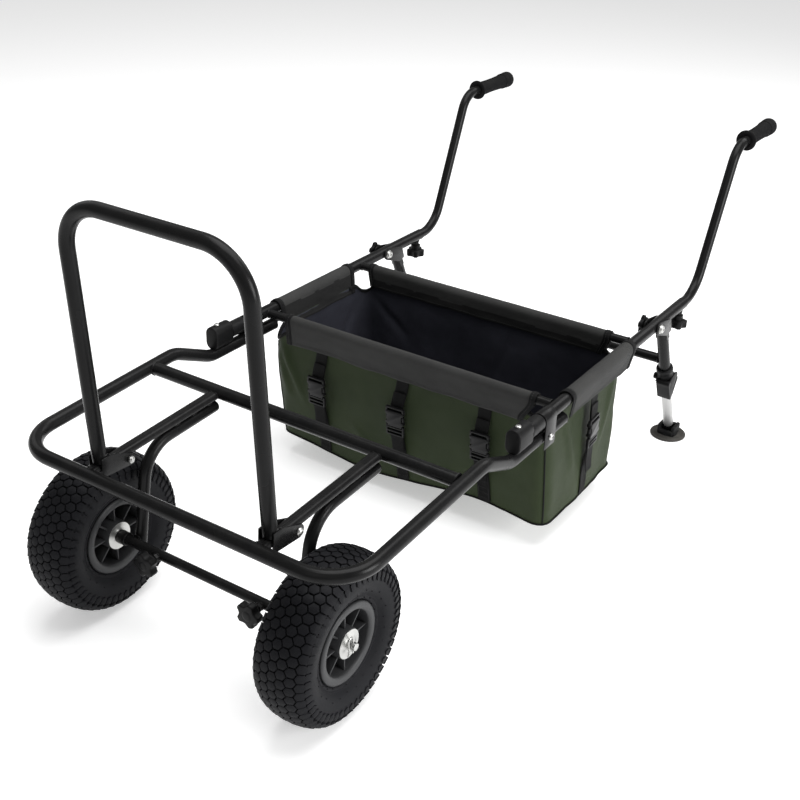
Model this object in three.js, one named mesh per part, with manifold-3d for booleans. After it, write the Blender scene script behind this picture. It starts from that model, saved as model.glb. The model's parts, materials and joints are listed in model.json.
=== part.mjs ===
// A two-wheeled fishing trolley: a tubular nose frame with pneumatic wheels, side rails that carry
// a hanging bag, pull-out push handles and a folding stand with telescopic legs.
// Millimetres. X runs across, +Y from the wheels to the handles, +Z up, and the ground is at zero.
import * as THREE from 'three';
import * as BufferGeometryUtils from 'three/addons/utils/BufferGeometryUtils.js';
import Module from 'manifold-3d';

const wasm = await Module();
wasm.setup();

// Driving dimensions. Places along Y are measured from the middle of the nose's front bar.
const gap = 0.3;
const overrun = 2;
const nose = {
  diameter: 22,
  wall: 1.5,
  offset: 303,
  drop: 11,
  slope: 0.05,
  bend: 70,
  dipBend: 60,
  dipStart: 340,
  dipEnd: 425,
  tailDrop: 31,
  tailEnd: 600,
  crossbarPlace: 285,
  plugLip: 3,
  plugDepth: 14,
};
const rail = { diameter: 22, wall: 1.2, offset: 300.5, height: 303, front: 436, rear: 1098 };
const bagTube = { diameter: 16, wall: 1.2, frontPlace: 577, rearPlace: 870.5 };
const clamp = {
  width: 27,
  height: 43,
  front: 430,
  rear: 474,
  sleeveWall: 2.4,
  sleeveEnd: 512,
  round: 3,
  screwPlace: 445,
  screwHead: 9,
  screwHeight: 3,
};
const strap = { thickness: 1.8, front: 515, rear: 550, drop: 49, boltPlace: 533 };
const strapBolt = { diameter: 6, head: 12, headHeight: 4 };
const deck = {
  inward: 9,
  width: 20.8,
  height: 11,
  rise: -1,
  lugLength: 20,
  lugRound: 8,
  lugWidth: 20.6,
  ridge: 0.9,
  ridgeWidth: 3,
};
const hoop = {
  diameter: 22,
  wall: 1.5,
  narrowing: 2,
  footPlace: 31.2,
  topPlace: 7.1,
  rise: 408.7,
  bend: 70,
  pivotPlace: 76,
  pivotDrop: 9.8,
};
const cheek = { thickness: 3, front: 22, rise: 26, round: 12 };
const hoopBolt = { diameter: 6, head: 12, headHeight: 4.5 };
const wheelLeg = {
  diameter: 19,
  wall: 1.5,
  drop: 21.7,
  rear: 276,
  bend: 60,
  tiltDegrees: 9.5,
  belowAxle: 8,
  padLength: 12,
  padWidth: 8,
  padPlaces: [190, 228, 264],
};
const axle = { place: 80, tubeDiameter: 16, tubeWall: 1.5, tubeHalfLength: 167 };
const stub = {
  diameter: 12,
  insertion: 97,
  outward: 45.8,
  chamfer: 1.5,
  collarDiameter: 22,
  clearance: 1,
  pinOutward: 39.8,
};
const pin = { wire: 3, reach: 11, bulge: 13, eye: 7, bend: 5.6 };
const wheel = { outward: 53.2, diameter: 260, width: 87.4 };
const tread = { pitches: 10, depth: 5, edgeDrop: 2.5, shoulderDrop: 12, band: 10 };
const hub = {
  rim: 132,
  rimHalf: 31,
  flange: 4,
  seat: 123,
  ringInner: 106,
  barrel: 48,
  barrelHalf: 32,
  web: 8,
  bore: 20.6,
  ribs: 8,
  ribThickness: 5,
  ribHalf: 25,
};
const bush = { diameter: 20, bore: 12.6, length: 26 };
const cover = { diameter: 45, thickness: 1.6, lip: 1.2 };
const innerTube = { wall: 2.5, halfWidth: 29, cover: 17, seatRise: 3 };
const valve = { diameter: 8, bore: 4, tip: 74, place: 13 };
const axleKnob = {
  inward: 66,
  diameter: 36,
  height: 15,
  place: 46.7,
  stem: 8,
  nut: 14,
  nutHeight: 6,
};
const handle = {
  diameter: 19,
  wall: 1.3,
  inner: 985,
  bottomPlace: 1152.8,
  topPlace: 1267.3,
  rise: 269,
  topOffset: 303.5,
  bottomBend: 70,
  topBend: 50,
};
const grip = { setback: 44.4, length: 138.5, flange: 40, flangeThickness: 4, body: 30, endWall: 4 };
const handleKnob = {
  place: 1082,
  diameter: 38,
  height: 15,
  drop: 20,
  stem: 8,
  nut: 15,
  nutHeight: 7,
};
const stand = {
  offset: 300.5,
  diameter: 20,
  wall: 1.2,
  topPlace: 996.2,
  tiltDegrees: 24.6,
  headTop: 20,
  pivotPlace: 957,
  crossbarDiameter: 16,
  crossbarAlong: 110,
  tubeEnd: 218,
};
const standHead = {
  thickness: 3,
  pivotRound: 14,
  rear: 1013,
  lowAlong: 48,
  webThickness: 2,
  webLength: 20,
  padLength: 18,
  padWidth: 12,
};
const standBolt = { diameter: 8, head: 15, headHeight: 6 };
const standKnob = { diameter: 44, height: 12, washer: 16, washerHeight: 2, neck: 2 };
const cam = {
  top: 125,
  bottom: 224,
  diameter: 31,
  waist: 27,
  lugWidth: 18,
  lugReach: 22,
  lugTop: 140,
  lugBottom: 172,
  leverPivotAlong: 156,
  leverPivotReach: 19,
  leverLength: 56,
  leverThickness: 5,
  leverWidth: 17,
  slot: 9,
  pinDiameter: 4,
  chamfer: 2,
  taper: 6,
};
const innerLeg = { diameter: 17, wall: 1.2, top: 90 };
const foot = {
  diameter: 62,
  thickness: 6,
  boss: 34,
  bossHeight: 18,
  pivotHeight: 15,
  knuckle: 14,
  knuckleWidth: 12,
  neck: 10,
  neckLength: 12,
  mouth: 24,
  chamfer: 2,
};
const bag = {
  bottomHalfWidth: 282.4,
  topHalfWidth: 287,
  frontBottom: 604.5,
  rearBottom: 867.5,
  drop: 27,
  depth: 225.5,
  wall: 3,
  corner: 24,
  sleeveWall: 2.2,
  sleeveGap: 0.6,
  frontSleeve: [-246, 257],
  rearSleeve: [-262, 257],
  sideSleeve: [635, 852],
};
const webbing = { width: 25, thickness: 1.6, drop: 14, length: 162 };
const webbingOffsets = [-181, 0, 178];
const buckle = { width: 33, length: 50, thickness: 9, drop: 36 };

// Values worked out from the driving dimensions
const noseRadius = nose.diameter / 2;
const railRadius = rail.diameter / 2;
const gripFront = handle.topPlace + grip.setback;
const gripEnd = gripFront + grip.length;
const centrePlace = (gripEnd + axle.place - wheel.diameter / 2) / 2;
const noseHeight = rail.height - nose.drop;
const noseHeightAt = (place) => noseHeight + nose.slope * place;
const noseTilt = Math.atan(nose.slope);
const tailHeight = rail.height - nose.tailDrop;
const pivotHeight = noseHeightAt(hoop.pivotPlace) - hoop.pivotDrop;
const cheekTop = pivotHeight + cheek.rise;
const hoopTopHeight = noseHeight + hoop.rise;
const handleTopHeight = rail.height + handle.rise;
const axleHeight = wheel.diameter / 2;
const wheelOffset = axle.tubeHalfLength + wheel.outward;
const deckOffset = axle.tubeHalfLength - deck.inward;
const stubInner = axle.tubeHalfLength - stub.insertion;
const collarStart = axle.tubeHalfLength + stub.clearance;
const stubOuter = wheelOffset + stub.outward;
const pinPlace = wheelOffset + stub.pinOutward;
const axleKnobOffset = axle.tubeHalfLength - axleKnob.inward;
const airOuter = wheel.diameter / 2 - innerTube.cover;
const airInner = hub.seat / 2 + innerTube.seatRise;
const bagTop = rail.height - bag.drop;
const bagBottom = bagTop - bag.depth;
const webbingTop = bagTop - webbing.drop;
const webbingEnd = webbingTop - webbing.length;
const buckleTop = bagTop - buckle.drop;
const radiansOf = THREE.MathUtils.degToRad;

// Finishes
const finishes = {
  powderCoat: { color: 0x222326, roughness: 0.42, metalness: 0.35 },
  zinc: { color: 0xb9bab6, roughness: 0.35, metalness: 0.9 },
  brightTube: { color: 0xc9cac8, roughness: 0.28, metalness: 0.95 },
  tyreRubber: { color: 0x1b1b1c, roughness: 0.85, metalness: 0 },
  softRubber: { color: 0x202021, roughness: 0.8, metalness: 0 },
  blackPlastic: { color: 0x1d1e20, roughness: 0.55, metalness: 0 },
  gripFoam: { color: 0x242426, roughness: 0.75, metalness: 0 },
  greenCloth: { color: 0x3c4a2e, roughness: 0.85, metalness: 0 },
  webbingCloth: { color: 0x1a1a1c, roughness: 0.85, metalness: 0 },
};
const materialOf = (finish) => new THREE.MeshStandardMaterial(finishes[finish]);

// Closed bodies: shared corners merged, slivers dropped and faces turned outwards
function closed(geometry) {
  const bare = geometry.clone();
  bare.deleteAttribute('normal');
  bare.deleteAttribute('uv');
  const merged = BufferGeometryUtils.mergeVertices(bare, 1e-4);
  const place = merged.getAttribute('position');
  const corners = [];
  const index = merged.index.array;
  let volume = 0;
  const [a, b, c] = [new THREE.Vector3(), new THREE.Vector3(), new THREE.Vector3()];
  for (let i = 0; i < index.length; i += 3) {
    const [p, q, r] = [index[i], index[i + 1], index[i + 2]];
    if (p === q || q === r || r === p) continue;
    corners.push(p, q, r);
    a.fromBufferAttribute(place, p);
    b.fromBufferAttribute(place, q);
    c.fromBufferAttribute(place, r);
    volume += a.dot(b.cross(c));
  }
  if (volume < 0) corners.reverse();
  merged.setIndex(corners);
  return merged;
}

function toSolid(geometry) {
  const whole = closed(geometry);
  const vertProperties = new Float32Array(whole.getAttribute('position').array);
  const triVerts = new Uint32Array(whole.index.array);
  return new wasm.Manifold(new wasm.Mesh({ numProp: 3, vertProperties, triVerts }));
}

function fromSolid(solid) {
  const mesh = solid.getMesh();
  const geometry = new THREE.BufferGeometry();
  const places = new Float32Array((mesh.vertProperties.length / mesh.numProp) * 3);
  for (let i = 0; i < places.length; i += 3) {
    const from = (i / 3) * mesh.numProp;
    places.set(mesh.vertProperties.subarray(from, from + 3), i);
  }
  geometry.setAttribute('position', new THREE.BufferAttribute(places, 3));
  geometry.setIndex(new THREE.BufferAttribute(new Uint32Array(mesh.triVerts), 1));
  return geometry;
}

const cut = (from, ...tools) =>
  fromSolid(tools.reduce((rest, tool) => rest.subtract(toSolid(tool)), toSolid(from)));
const join = (first, ...others) =>
  fromSolid(others.reduce((rest, other) => rest.add(toSolid(other)), toSolid(first)));
const mirrored = (geometry) => closed(geometry.clone().scale(-1, 1, 1));

// Outlines and simple forms
const vector = (x, y, z) => new THREE.Vector3(x, y, z);

function circle(radius, sides) {
  const points = [];
  for (let i = 0; i < sides; i += 1) {
    const angle = (2 * Math.PI * (i + 0.5)) / sides;
    points.push(new THREE.Vector2(radius * Math.cos(angle), radius * Math.sin(angle)));
  }
  return points;
}

function ringShape(radius, bore, sides, boreSides = sides) {
  const shape = new THREE.Shape(circle(radius, sides));
  if (bore > 0) shape.holes.push(new THREE.Path(circle(bore, boreSides)));
  return shape;
}

// A route of straight runs and round bends, with one station at each end of a run and along each bend
class Route extends THREE.Curve {
  constructor(stations) {
    super();
    this.stations = stations;
  }

  blend(t, key, target) {
    const along = t * (this.stations.length - 1);
    const first = Math.min(Math.floor(along + 1e-9), this.stations.length - 2);
    const share = along - first;
    return target.copy(this.stations[first][key]).lerp(this.stations[first + 1][key], share);
  }

  getPoint(t, target = new THREE.Vector3()) {
    return this.blend(t, 'point', target);
  }

  getPointAt(u, target = new THREE.Vector3()) {
    return this.getPoint(u, target);
  }

  getTangentAt(u, target = new THREE.Vector3()) {
    return this.blend(u, 'tangent', target).normalize();
  }
}

function bentRoute(corners, bends, turns) {
  const directions = corners.slice(1).map((corner, i) => corner.clone().sub(corners[i]).normalize());
  const stations = [{ point: corners[0], tangent: directions[0] }];
  for (let i = 1; i < corners.length - 1; i += 1) {
    const [before, after] = [directions[i - 1], directions[i]];
    const turn = before.angleTo(after);
    const axis = before.clone().cross(after).normalize();
    const inward = axis.clone().cross(before);
    const setback = bends[i - 1] * Math.tan(turn / 2);
    const centre = corners[i].clone().addScaledVector(before, -setback);
    centre.addScaledVector(inward, bends[i - 1]);
    const steps = turns[i - 1];
    for (let k = 0; k <= steps; k += 1) {
      const angle = (turn * k) / steps;
      const radial = inward.clone().negate().applyAxisAngle(axis, angle);
      const tangent = before.clone().applyAxisAngle(axis, angle);
      stations.push({ point: centre.clone().addScaledVector(radial, bends[i - 1]), tangent });
    }
  }
  stations.push({ point: corners[corners.length - 1], tangent: directions[directions.length - 1] });
  return new Route(stations);
}

function sweep(shape, route) {
  const steps = route.stations.length - 1;
  return new THREE.ExtrudeGeometry(shape, { steps, extrudePath: route, curveSegments: 1 });
}

const boreSides = 6;
const boreFit = Math.cos(Math.PI / boreSides);
const bentTube = (radius, bore, sides, corners, bends, turns) =>
  sweep(ringShape(radius, bore / Math.sqrt(boreFit), sides, boreSides), bentRoute(corners, bends, turns));
const straightTube = (radius, bore, sides, start, end) =>
  sweep(ringShape(radius, bore, sides), bentRoute([start, end], [], []));
const rod = (radius, sides, start, end) => straightTube(radius, 0, sides, start, end);

// The radius of a faceted bore or cutter that leaves the gap all round a tube inside it
const clearRadius = (radius, sides) => (radius + gap) / Math.cos(Math.PI / sides);
const cutterSides = 16;
const clearRod = (radius, start, end) => rod(clearRadius(radius, cutterSides), cutterSides, start, end);

// A turned form: its profile of [radius, distance along] turns about an axis through a place
function turned(profile, sides, place, axis) {
  const points = profile.map(([radius, along]) => new THREE.Vector2(radius, along));
  const geometry = new THREE.LatheGeometry(points, sides);
  const turn = new THREE.Quaternion().setFromUnitVectors(vector(0, 1, 0), axis);
  return geometry.applyQuaternion(turn).translate(place.x, place.y, place.z);
}

function box(width, length, height, centre) {
  return new THREE.BoxGeometry(width, length, height).translate(centre.x, centre.y, centre.z);
}

// A flat outline of [along Y, along Z] given a thickness along X from a start
function sidePlate(outline, start, thickness) {
  const shape = new THREE.Shape(outline.map(([y, z]) => new THREE.Vector2(y, z)));
  const geometry = new THREE.ExtrudeGeometry(shape, { depth: thickness, bevelEnabled: false });
  geometry.applyMatrix4(new THREE.Matrix4().makeBasis(vector(0, 1, 0), vector(0, 0, 1), vector(1, 0, 0)));
  return geometry.translate(start, 0, 0);
}

// An arc as a list of [first, second] points about a centre
function arc(centre, radius, fromDegrees, toDegrees, steps) {
  const points = [];
  for (let i = 0; i <= steps; i += 1) {
    const angle = radiansOf(fromDegrees + ((toDegrees - fromDegrees) * i) / steps);
    points.push([centre[0] + radius * Math.cos(angle), centre[1] + radius * Math.sin(angle)]);
  }
  return points;
}

// A screw head: a low dome with a flat seat
function domeHead(radius, height, place, axis) {
  const rimShare = 0.45;
  const crownShare = 0.62;
  const profile = [
    [0, 0],
    [radius, 0],
    [radius, height * rimShare],
    [radius * crownShare, height],
    [0, height],
  ];
  return turned(profile, 8, place, axis);
}

// A lobed knob with a neck and a screw: the screw's tip is at the place and the head lies along the axis
function lobedKnob({ diameter, height, stemRadius, stemLength, neckLength }, place, axis) {
  const lobes = 5;
  const perLobe = 3;
  const hollowShare = 0.2;
  const neckShare = 0.52;
  const edgeShare = 0.12;
  const outline = [];
  for (let i = 0; i < lobes * perLobe; i += 1) {
    const angle = (2 * Math.PI * i) / (lobes * perLobe);
    const reach = 1 - (hollowShare * (1 - Math.cos(lobes * angle))) / 2;
    const radius = (diameter / 2) * (reach - edgeShare);
    outline.push(new THREE.Vector2(radius * Math.cos(angle), radius * Math.sin(angle)));
  }
  const edge = (diameter / 2) * edgeShare;
  const head = new THREE.ExtrudeGeometry(new THREE.Shape(outline), {
    depth: height - 2 * edge,
    bevelThickness: edge,
    bevelSize: edge,
    bevelSegments: 1,
  });
  head.translate(0, 0, stemLength + neckLength + edge);
  const neck = rod((diameter / 2) * neckShare, 8, vector(0, 0, stemLength),
    vector(0, 0, stemLength + neckLength + edge));
  const stem = rod(stemRadius, 8, vector(0, 0, 0), vector(0, 0, stemLength + neckLength));
  const knob = join(head, neck, stem);
  const turn = new THREE.Quaternion().setFromUnitVectors(vector(0, 0, 1), axis);
  return knob.applyQuaternion(turn).translate(place.x, place.y, place.z);
}

// The scene graph: everything stands in one group whose origin is below the middle of the trolley
const trolley = new THREE.Group();
trolley.name = 'fishing_trolley';
const body = new THREE.Group();
body.position.y = -centrePlace;
trolley.add(body);

function piece(name, geometry, finish, parent = body) {
  const shaded = BufferGeometryUtils.toCreasedNormals(closed(geometry), radiansOf(40));
  const mesh = new THREE.Mesh(shaded, materialOf(finish));
  mesh.name = name;
  parent.add(mesh);
}

function pairOf(name, geometry, finish, parent = body) {
  piece(`${name}_right`, geometry, finish, parent);
  piece(`${name}_left`, mirrored(geometry), finish, parent);
}

const both = (geometry) => [geometry, mirrored(geometry)];

// Nose frame: a U of tube whose ends dip below the side rails
const noseSides = 10;
const frontBar = vector(nose.offset, 0, noseHeight);
const noseCorners = [
  vector(rail.offset, nose.tailEnd, tailHeight),
  vector(rail.offset, nose.dipEnd, tailHeight),
  vector(nose.offset, nose.dipStart, noseHeightAt(nose.dipStart)),
  frontBar,
];
const noseRoute = [...noseCorners, ...noseCorners.map((p) => vector(-p.x, p.y, p.z)).reverse()];
const noseBends = [nose.dipBend, nose.dipBend, nose.bend, nose.bend, nose.dipBend, nose.dipBend];
const noseTurns = [1, 1, 4, 4, 1, 1];
const noseTube = bentTube(noseRadius, noseRadius - nose.wall, noseSides, noseRoute, noseBends, noseTurns);

// A push-in plug that closes a tube's end: a shank in the bore and a domed lip over the end
function tubePlug(radius, wall, place, axis) {
  const crownShare = 0.8;
  const shank = radius - wall / 2;
  const profile = [
    [0, -nose.plugDepth],
    [shank, -nose.plugDepth],
    [shank, -gap],
    [radius + gap, -gap],
    [radius * crownShare, nose.plugLip],
    [0, nose.plugLip],
  ];
  return turned(profile, 10, place, axis);
}
const tailPlug = tubePlug(noseRadius, nose.wall, vector(rail.offset, nose.tailEnd, tailHeight),
  vector(0, 1, 0));

// Bolt holes through the tails, the rails and the axle tube
const strapBoltHole = rod(strapBolt.diameter / 2 + gap, 10,
  vector(rail.offset - railRadius * 2, strap.boltPlace, tailHeight),
  vector(rail.offset + railRadius * 2, strap.boltPlace, tailHeight));
piece('nose_tube', cut(join(noseTube, ...both(tailPlug)), ...both(strapBoltHole)), 'powderCoat');

const crossbarHeight = noseHeightAt(nose.crossbarPlace);
const noseSideCutter = (side) => clearRod(noseRadius,
  vector(side * nose.offset, 0, noseHeight),
  vector(side * nose.offset, nose.dipStart, noseHeightAt(nose.dipStart)));
const crossbar = straightTube(noseRadius, noseRadius - nose.wall, noseSides,
  vector(-nose.offset, nose.crossbarPlace, crossbarHeight),
  vector(nose.offset, nose.crossbarPlace, crossbarHeight));
piece('nose_crossbar', cut(crossbar, noseSideCutter(1), noseSideCutter(-1)), 'powderCoat');

// Deck bars: flat-oval tubes from the front bar to the crossbar, each with a lug for the hoop's pivot
function deckSection() {
  const halfWidth = deck.width / 2;
  const halfHeight = deck.height / 2;
  const flat = halfWidth - halfHeight;
  const ridgeShare = 0.5;
  const ridges = [-1, 1].flatMap((side) => [
    [side * flat * ridgeShare - deck.ridgeWidth / 2, halfHeight],
    [side * flat * ridgeShare, halfHeight + deck.ridge],
    [side * flat * ridgeShare + deck.ridgeWidth / 2, halfHeight],
  ]);
  const outline = [
    ...arc([-flat, 0], halfHeight, 270, 90, 4),
    ...ridges,
    ...arc([flat, 0], halfHeight, 90, -90, 4),
  ];
  return new THREE.Shape(outline.map(([x, y]) => new THREE.Vector2(x, y)));
}

const deckLength = nose.crossbarPlace / Math.cos(noseTilt);
const deckBar = new THREE.ExtrudeGeometry(deckSection(), { depth: deckLength, bevelEnabled: false });
deckBar.rotateX(Math.PI / 2).rotateZ(Math.PI);
deckBar.rotateX(noseTilt).translate(deckOffset, 0, noseHeight + deck.rise);
const lugTop = noseHeightAt(hoop.pivotPlace) + deck.rise;
const pivotLug = sidePlate([
  [hoop.pivotPlace - deck.lugLength / 2, lugTop],
  [hoop.pivotPlace - deck.lugLength / 2, pivotHeight],
  ...arc([hoop.pivotPlace, pivotHeight], deck.lugRound, 180, 360, 6),
  [hoop.pivotPlace + deck.lugLength / 2, pivotHeight],
  [hoop.pivotPlace + deck.lugLength / 2, lugTop],
], deckOffset - deck.lugWidth / 2, deck.lugWidth);
const hoopBoltHole = rod(hoopBolt.diameter / 2 + gap, 10,
  vector(deckOffset - deck.width, hoop.pivotPlace, pivotHeight),
  vector(deckOffset + deck.width, hoop.pivotPlace, pivotHeight));
const frontBarCutter = clearRod(noseRadius,
  vector(-nose.offset, 0, noseHeight), vector(nose.offset, 0, noseHeight));
const crossbarCutter = clearRod(noseRadius,
  vector(-nose.offset, nose.crossbarPlace, crossbarHeight),
  vector(nose.offset, nose.crossbarPlace, crossbarHeight));
const deckPiece = cut(join(deckBar, pivotLug), frontBarCutter, crossbarCutter, hoopBoltHole);
pairOf('deck_bar', deckPiece, 'powderCoat');

// Wheel legs: tubes that hang below the deck bars and run down to the axle tube
const wheelLegRadius = wheelLeg.diameter / 2;
const axleTubeRadius = axle.tubeDiameter / 2;
const legTilt = radiansOf(wheelLeg.tiltDegrees);
const legAxlePlace = axle.place + gap + (axleTubeRadius + wheelLegRadius) / Math.cos(legTilt);
const legBottom = axleHeight - wheelLeg.belowAxle;
const legTopAt = (place) => noseHeightAt(place) - wheelLeg.drop;
const legLineAt = (height) => legAxlePlace + (height - axleHeight) * Math.tan(legTilt);
const legCornerPlace = (legAxlePlace + (legTopAt(0) - axleHeight) * Math.tan(legTilt))
  / (1 - nose.slope * Math.tan(legTilt));
const wheelLegRoute = [
  vector(deckOffset, wheelLeg.rear, legTopAt(wheelLeg.rear)),
  vector(deckOffset, legCornerPlace, legTopAt(legCornerPlace)),
  vector(deckOffset, legLineAt(legBottom), legBottom),
];
const wheelLegTube = bentTube(wheelLegRadius, wheelLegRadius - wheelLeg.wall, 10,
  wheelLegRoute, [wheelLeg.bend], [3]);
const padHeight = wheelLeg.drop - deck.height / 2 + deck.rise - wheelLegRadius + wheelLeg.wall / 2 - gap;
const pads = wheelLeg.padPlaces.map((place) => {
  const top = noseHeightAt(place) + deck.rise - deck.height / 2 - gap;
  const pad = box(wheelLeg.padWidth, wheelLeg.padLength, padHeight, vector(0, 0, -padHeight / 2));
  return pad.rotateX(noseTilt).translate(deckOffset, place, top);
});

const legPlug = tubePlug(wheelLegRadius, wheelLeg.wall,
  vector(deckOffset, wheelLeg.rear, legTopAt(wheelLeg.rear)),
  vector(0, Math.cos(noseTilt), Math.sin(noseTilt)));
pairOf('wheel_leg', join(wheelLegTube, legPlug, ...pads), 'powderCoat');

// Axle tube with a weld nut for each lock knob
const nutCentre = vector(axleKnobOffset, axle.place, axleHeight);
const nutFront = axle.place - axleTubeRadius - axleKnob.nutHeight;
const weldNut = rod(axleKnob.nut / 2, 6, vector(nutCentre.x, nutFront, nutCentre.z), nutCentre);
const knobHole = rod(axleKnob.stem / 2 + gap, 10,
  vector(nutCentre.x, nutFront - overrun, nutCentre.z), nutCentre);
const axleTubeOuter = rod(axleTubeRadius, 12, vector(-axle.tubeHalfLength, axle.place, axleHeight),
  vector(axle.tubeHalfLength, axle.place, axleHeight));
const axleBore = rod(axleTubeRadius - axle.tubeWall, 12,
  vector(-axle.tubeHalfLength - overrun, axle.place, axleHeight),
  vector(axle.tubeHalfLength + overrun, axle.place, axleHeight));
const axleTube = cut(join(axleTubeOuter, ...both(weldNut)), axleBore, ...both(knobHole));
piece('axle_tube', axleTube, 'powderCoat');

// Stub axles slide out of the axle tube with their wheels
const across = vector(1, 0, 0);
const stubRadius = stub.diameter / 2;
const hubFace = wheelOffset - hub.barrelHalf - cover.thickness - gap;
const stubProfile = [
  [0, stubInner],
  [stubRadius, stubInner],
  [stubRadius, collarStart],
  [stub.collarDiameter / 2, collarStart],
  [stub.collarDiameter / 2, hubFace - gap],
  [stubRadius, hubFace - gap],
  [stubRadius, stubOuter - stub.chamfer],
  [stubRadius - stub.chamfer, stubOuter],
  [0, stubOuter],
];
const axleLine = vector(0, axle.place, axleHeight);
const pinHole = rod(pin.wire / 2 + gap, 8,
  vector(pinPlace, axle.place, axleHeight - stub.diameter),
  vector(pinPlace, axle.place, axleHeight + stub.diameter));
pairOf('stub_axle', cut(turned(stubProfile, 12, axleLine, across), pinHole), 'powderCoat');

const pinRoute = [
  vector(pinPlace, axle.place, axleHeight - pin.reach),
  vector(pinPlace, axle.place, axleHeight + pin.reach + pin.eye),
  vector(pinPlace, axle.place - pin.eye * 2, axleHeight + pin.reach + pin.eye),
  vector(pinPlace, axle.place - pin.bulge, axleHeight),
  vector(pinPlace, axle.place - pin.eye, axleHeight - pin.reach),
];
const pinBends = [pin.bend, pin.bend, pin.eye];
pairOf('cotter_pin', bentTube(pin.wire / 2, 0, 6, pinRoute, pinBends, [2, 2, 2]), 'zinc');

// Lock knobs screwed into the weld nuts, with their tips on the stub axles
const stemTip = axle.place - stubRadius - gap;
const knobNeck = nutFront - (axleKnob.place + axleKnob.height / 2) - gap;
const axleKnobForm = lobedKnob({
  diameter: axleKnob.diameter,
  height: axleKnob.height,
  stemRadius: axleKnob.stem / 2,
  stemLength: stemTip - nutFront + gap,
  neckLength: knobNeck,
}, vector(axleKnobOffset, stemTip, axleHeight), vector(0, -1, 0));
pairOf('axle_knob', axleKnobForm, 'blackPlastic');

// Wheels: a ribbed plastic hub, two bushes, two cover washers, an inner tube with a valve and a block tyre
const wheelCentre = vector(wheelOffset, axle.place, axleHeight);
const ribTurn = (2 * Math.PI) / hub.ribs;
const hubProfile = [
  [hub.bore / 2, -hub.barrelHalf],
  [hub.barrel / 2, -hub.barrelHalf],
  [hub.barrel / 2, -hub.web / 2],
  [hub.ringInner / 2, -hub.web / 2],
  [hub.ringInner / 2, -hub.rimHalf],
  [hub.rim / 2, -hub.rimHalf],
  [hub.rim / 2, -hub.rimHalf + hub.flange],
  [hub.seat / 2, -hub.rimHalf + hub.flange],
  [hub.seat / 2, hub.rimHalf - hub.flange],
  [hub.rim / 2, hub.rimHalf - hub.flange],
  [hub.rim / 2, hub.rimHalf],
  [hub.ringInner / 2, hub.rimHalf],
  [hub.ringInner / 2, hub.web / 2],
  [hub.barrel / 2, hub.web / 2],
  [hub.barrel / 2, hub.barrelHalf],
  [hub.bore / 2, hub.barrelHalf],
  [hub.bore / 2, -hub.barrelHalf],
];
const hubSides = 16;
const hubBody = turned(hubProfile, hubSides, wheelCentre, across);
const ribInner = hub.barrel / 2 - overrun;
const ribOuter = hub.ringInner / 2 + overrun;
const ribs = [];
for (let i = 0; i < hub.ribs; i += 1) {
  const rib = box(hub.ribHalf * 2, hub.ribThickness, ribOuter - ribInner,
    vector(0, 0, (ribInner + ribOuter) / 2));
  rib.rotateX(ribTurn * i).translate(wheelCentre.x, wheelCentre.y, wheelCentre.z);
  ribs.push(rib);
}
const valveTurn = ribTurn / 2;
const valveAt = (radius) => vector(wheelOffset + valve.place, 0, radius)
  .applyAxisAngle(across, valveTurn).add(axleLine);
const valveHole = rod(valve.diameter / 2 + gap, 8, valveAt(hub.ringInner / 2 - overrun * 2),
  valveAt(hub.seat / 2 + overrun));
pairOf('hub', cut(join(hubBody, ...ribs), valveHole), 'blackPlastic');

const bearingFace = hub.barrelHalf + cover.thickness;
const bearingProfile = [
  [bush.bore / 2, bearingFace - bush.length],
  [bush.diameter / 2, bearingFace - bush.length],
  [bush.diameter / 2, hub.barrelHalf + gap],
  [cover.diameter / 2, hub.barrelHalf + gap],
  [cover.diameter / 2 - cover.lip, bearingFace],
  [bush.diameter / 2, bearingFace],
  [bush.bore / 2, bearingFace - cover.lip],
  [bush.bore / 2, bearingFace - bush.length],
];
pairOf('outer_bearing', turned(bearingProfile, 12, wheelCentre, across), 'zinc');
pairOf('inner_bearing', turned(bearingProfile, 12, wheelCentre, vector(-1, 0, 0)), 'zinc');

// The inner tube fills the tyre, and its valve comes through the rim
function ovalRing(inner, outer, halfWidth, points, sides) {
  const middle = (inner + outer) / 2;
  const reach = (outer - inner) / 2;
  const profile = [];
  for (let i = 0; i <= points; i += 1) {
    const angle = (2 * Math.PI * i) / points;
    profile.push([middle + reach * Math.sin(angle), halfWidth * Math.cos(angle)]);
  }
  return turned(profile, sides, wheelCentre, across);
}
const airTube = ovalRing(airInner, airOuter, innerTube.halfWidth, 6, 12);
const airSpace = ovalRing(airInner + innerTube.wall, airOuter - innerTube.wall,
  innerTube.halfWidth - innerTube.wall, 6, 12);
const valveRoot = airInner + valve.diameter;
const valveStem = rod(valve.diameter / 2, 8, valveAt(valve.tip / 2), valveAt(valveRoot));
const valveBore = rod(valve.bore / 2, 6, valveAt(valve.tip / 2 - overrun), valveAt(valveRoot + overrun));
pairOf('inner_tube', cut(join(airTube, valveStem), airSpace, valveBore), 'softRubber');

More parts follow.
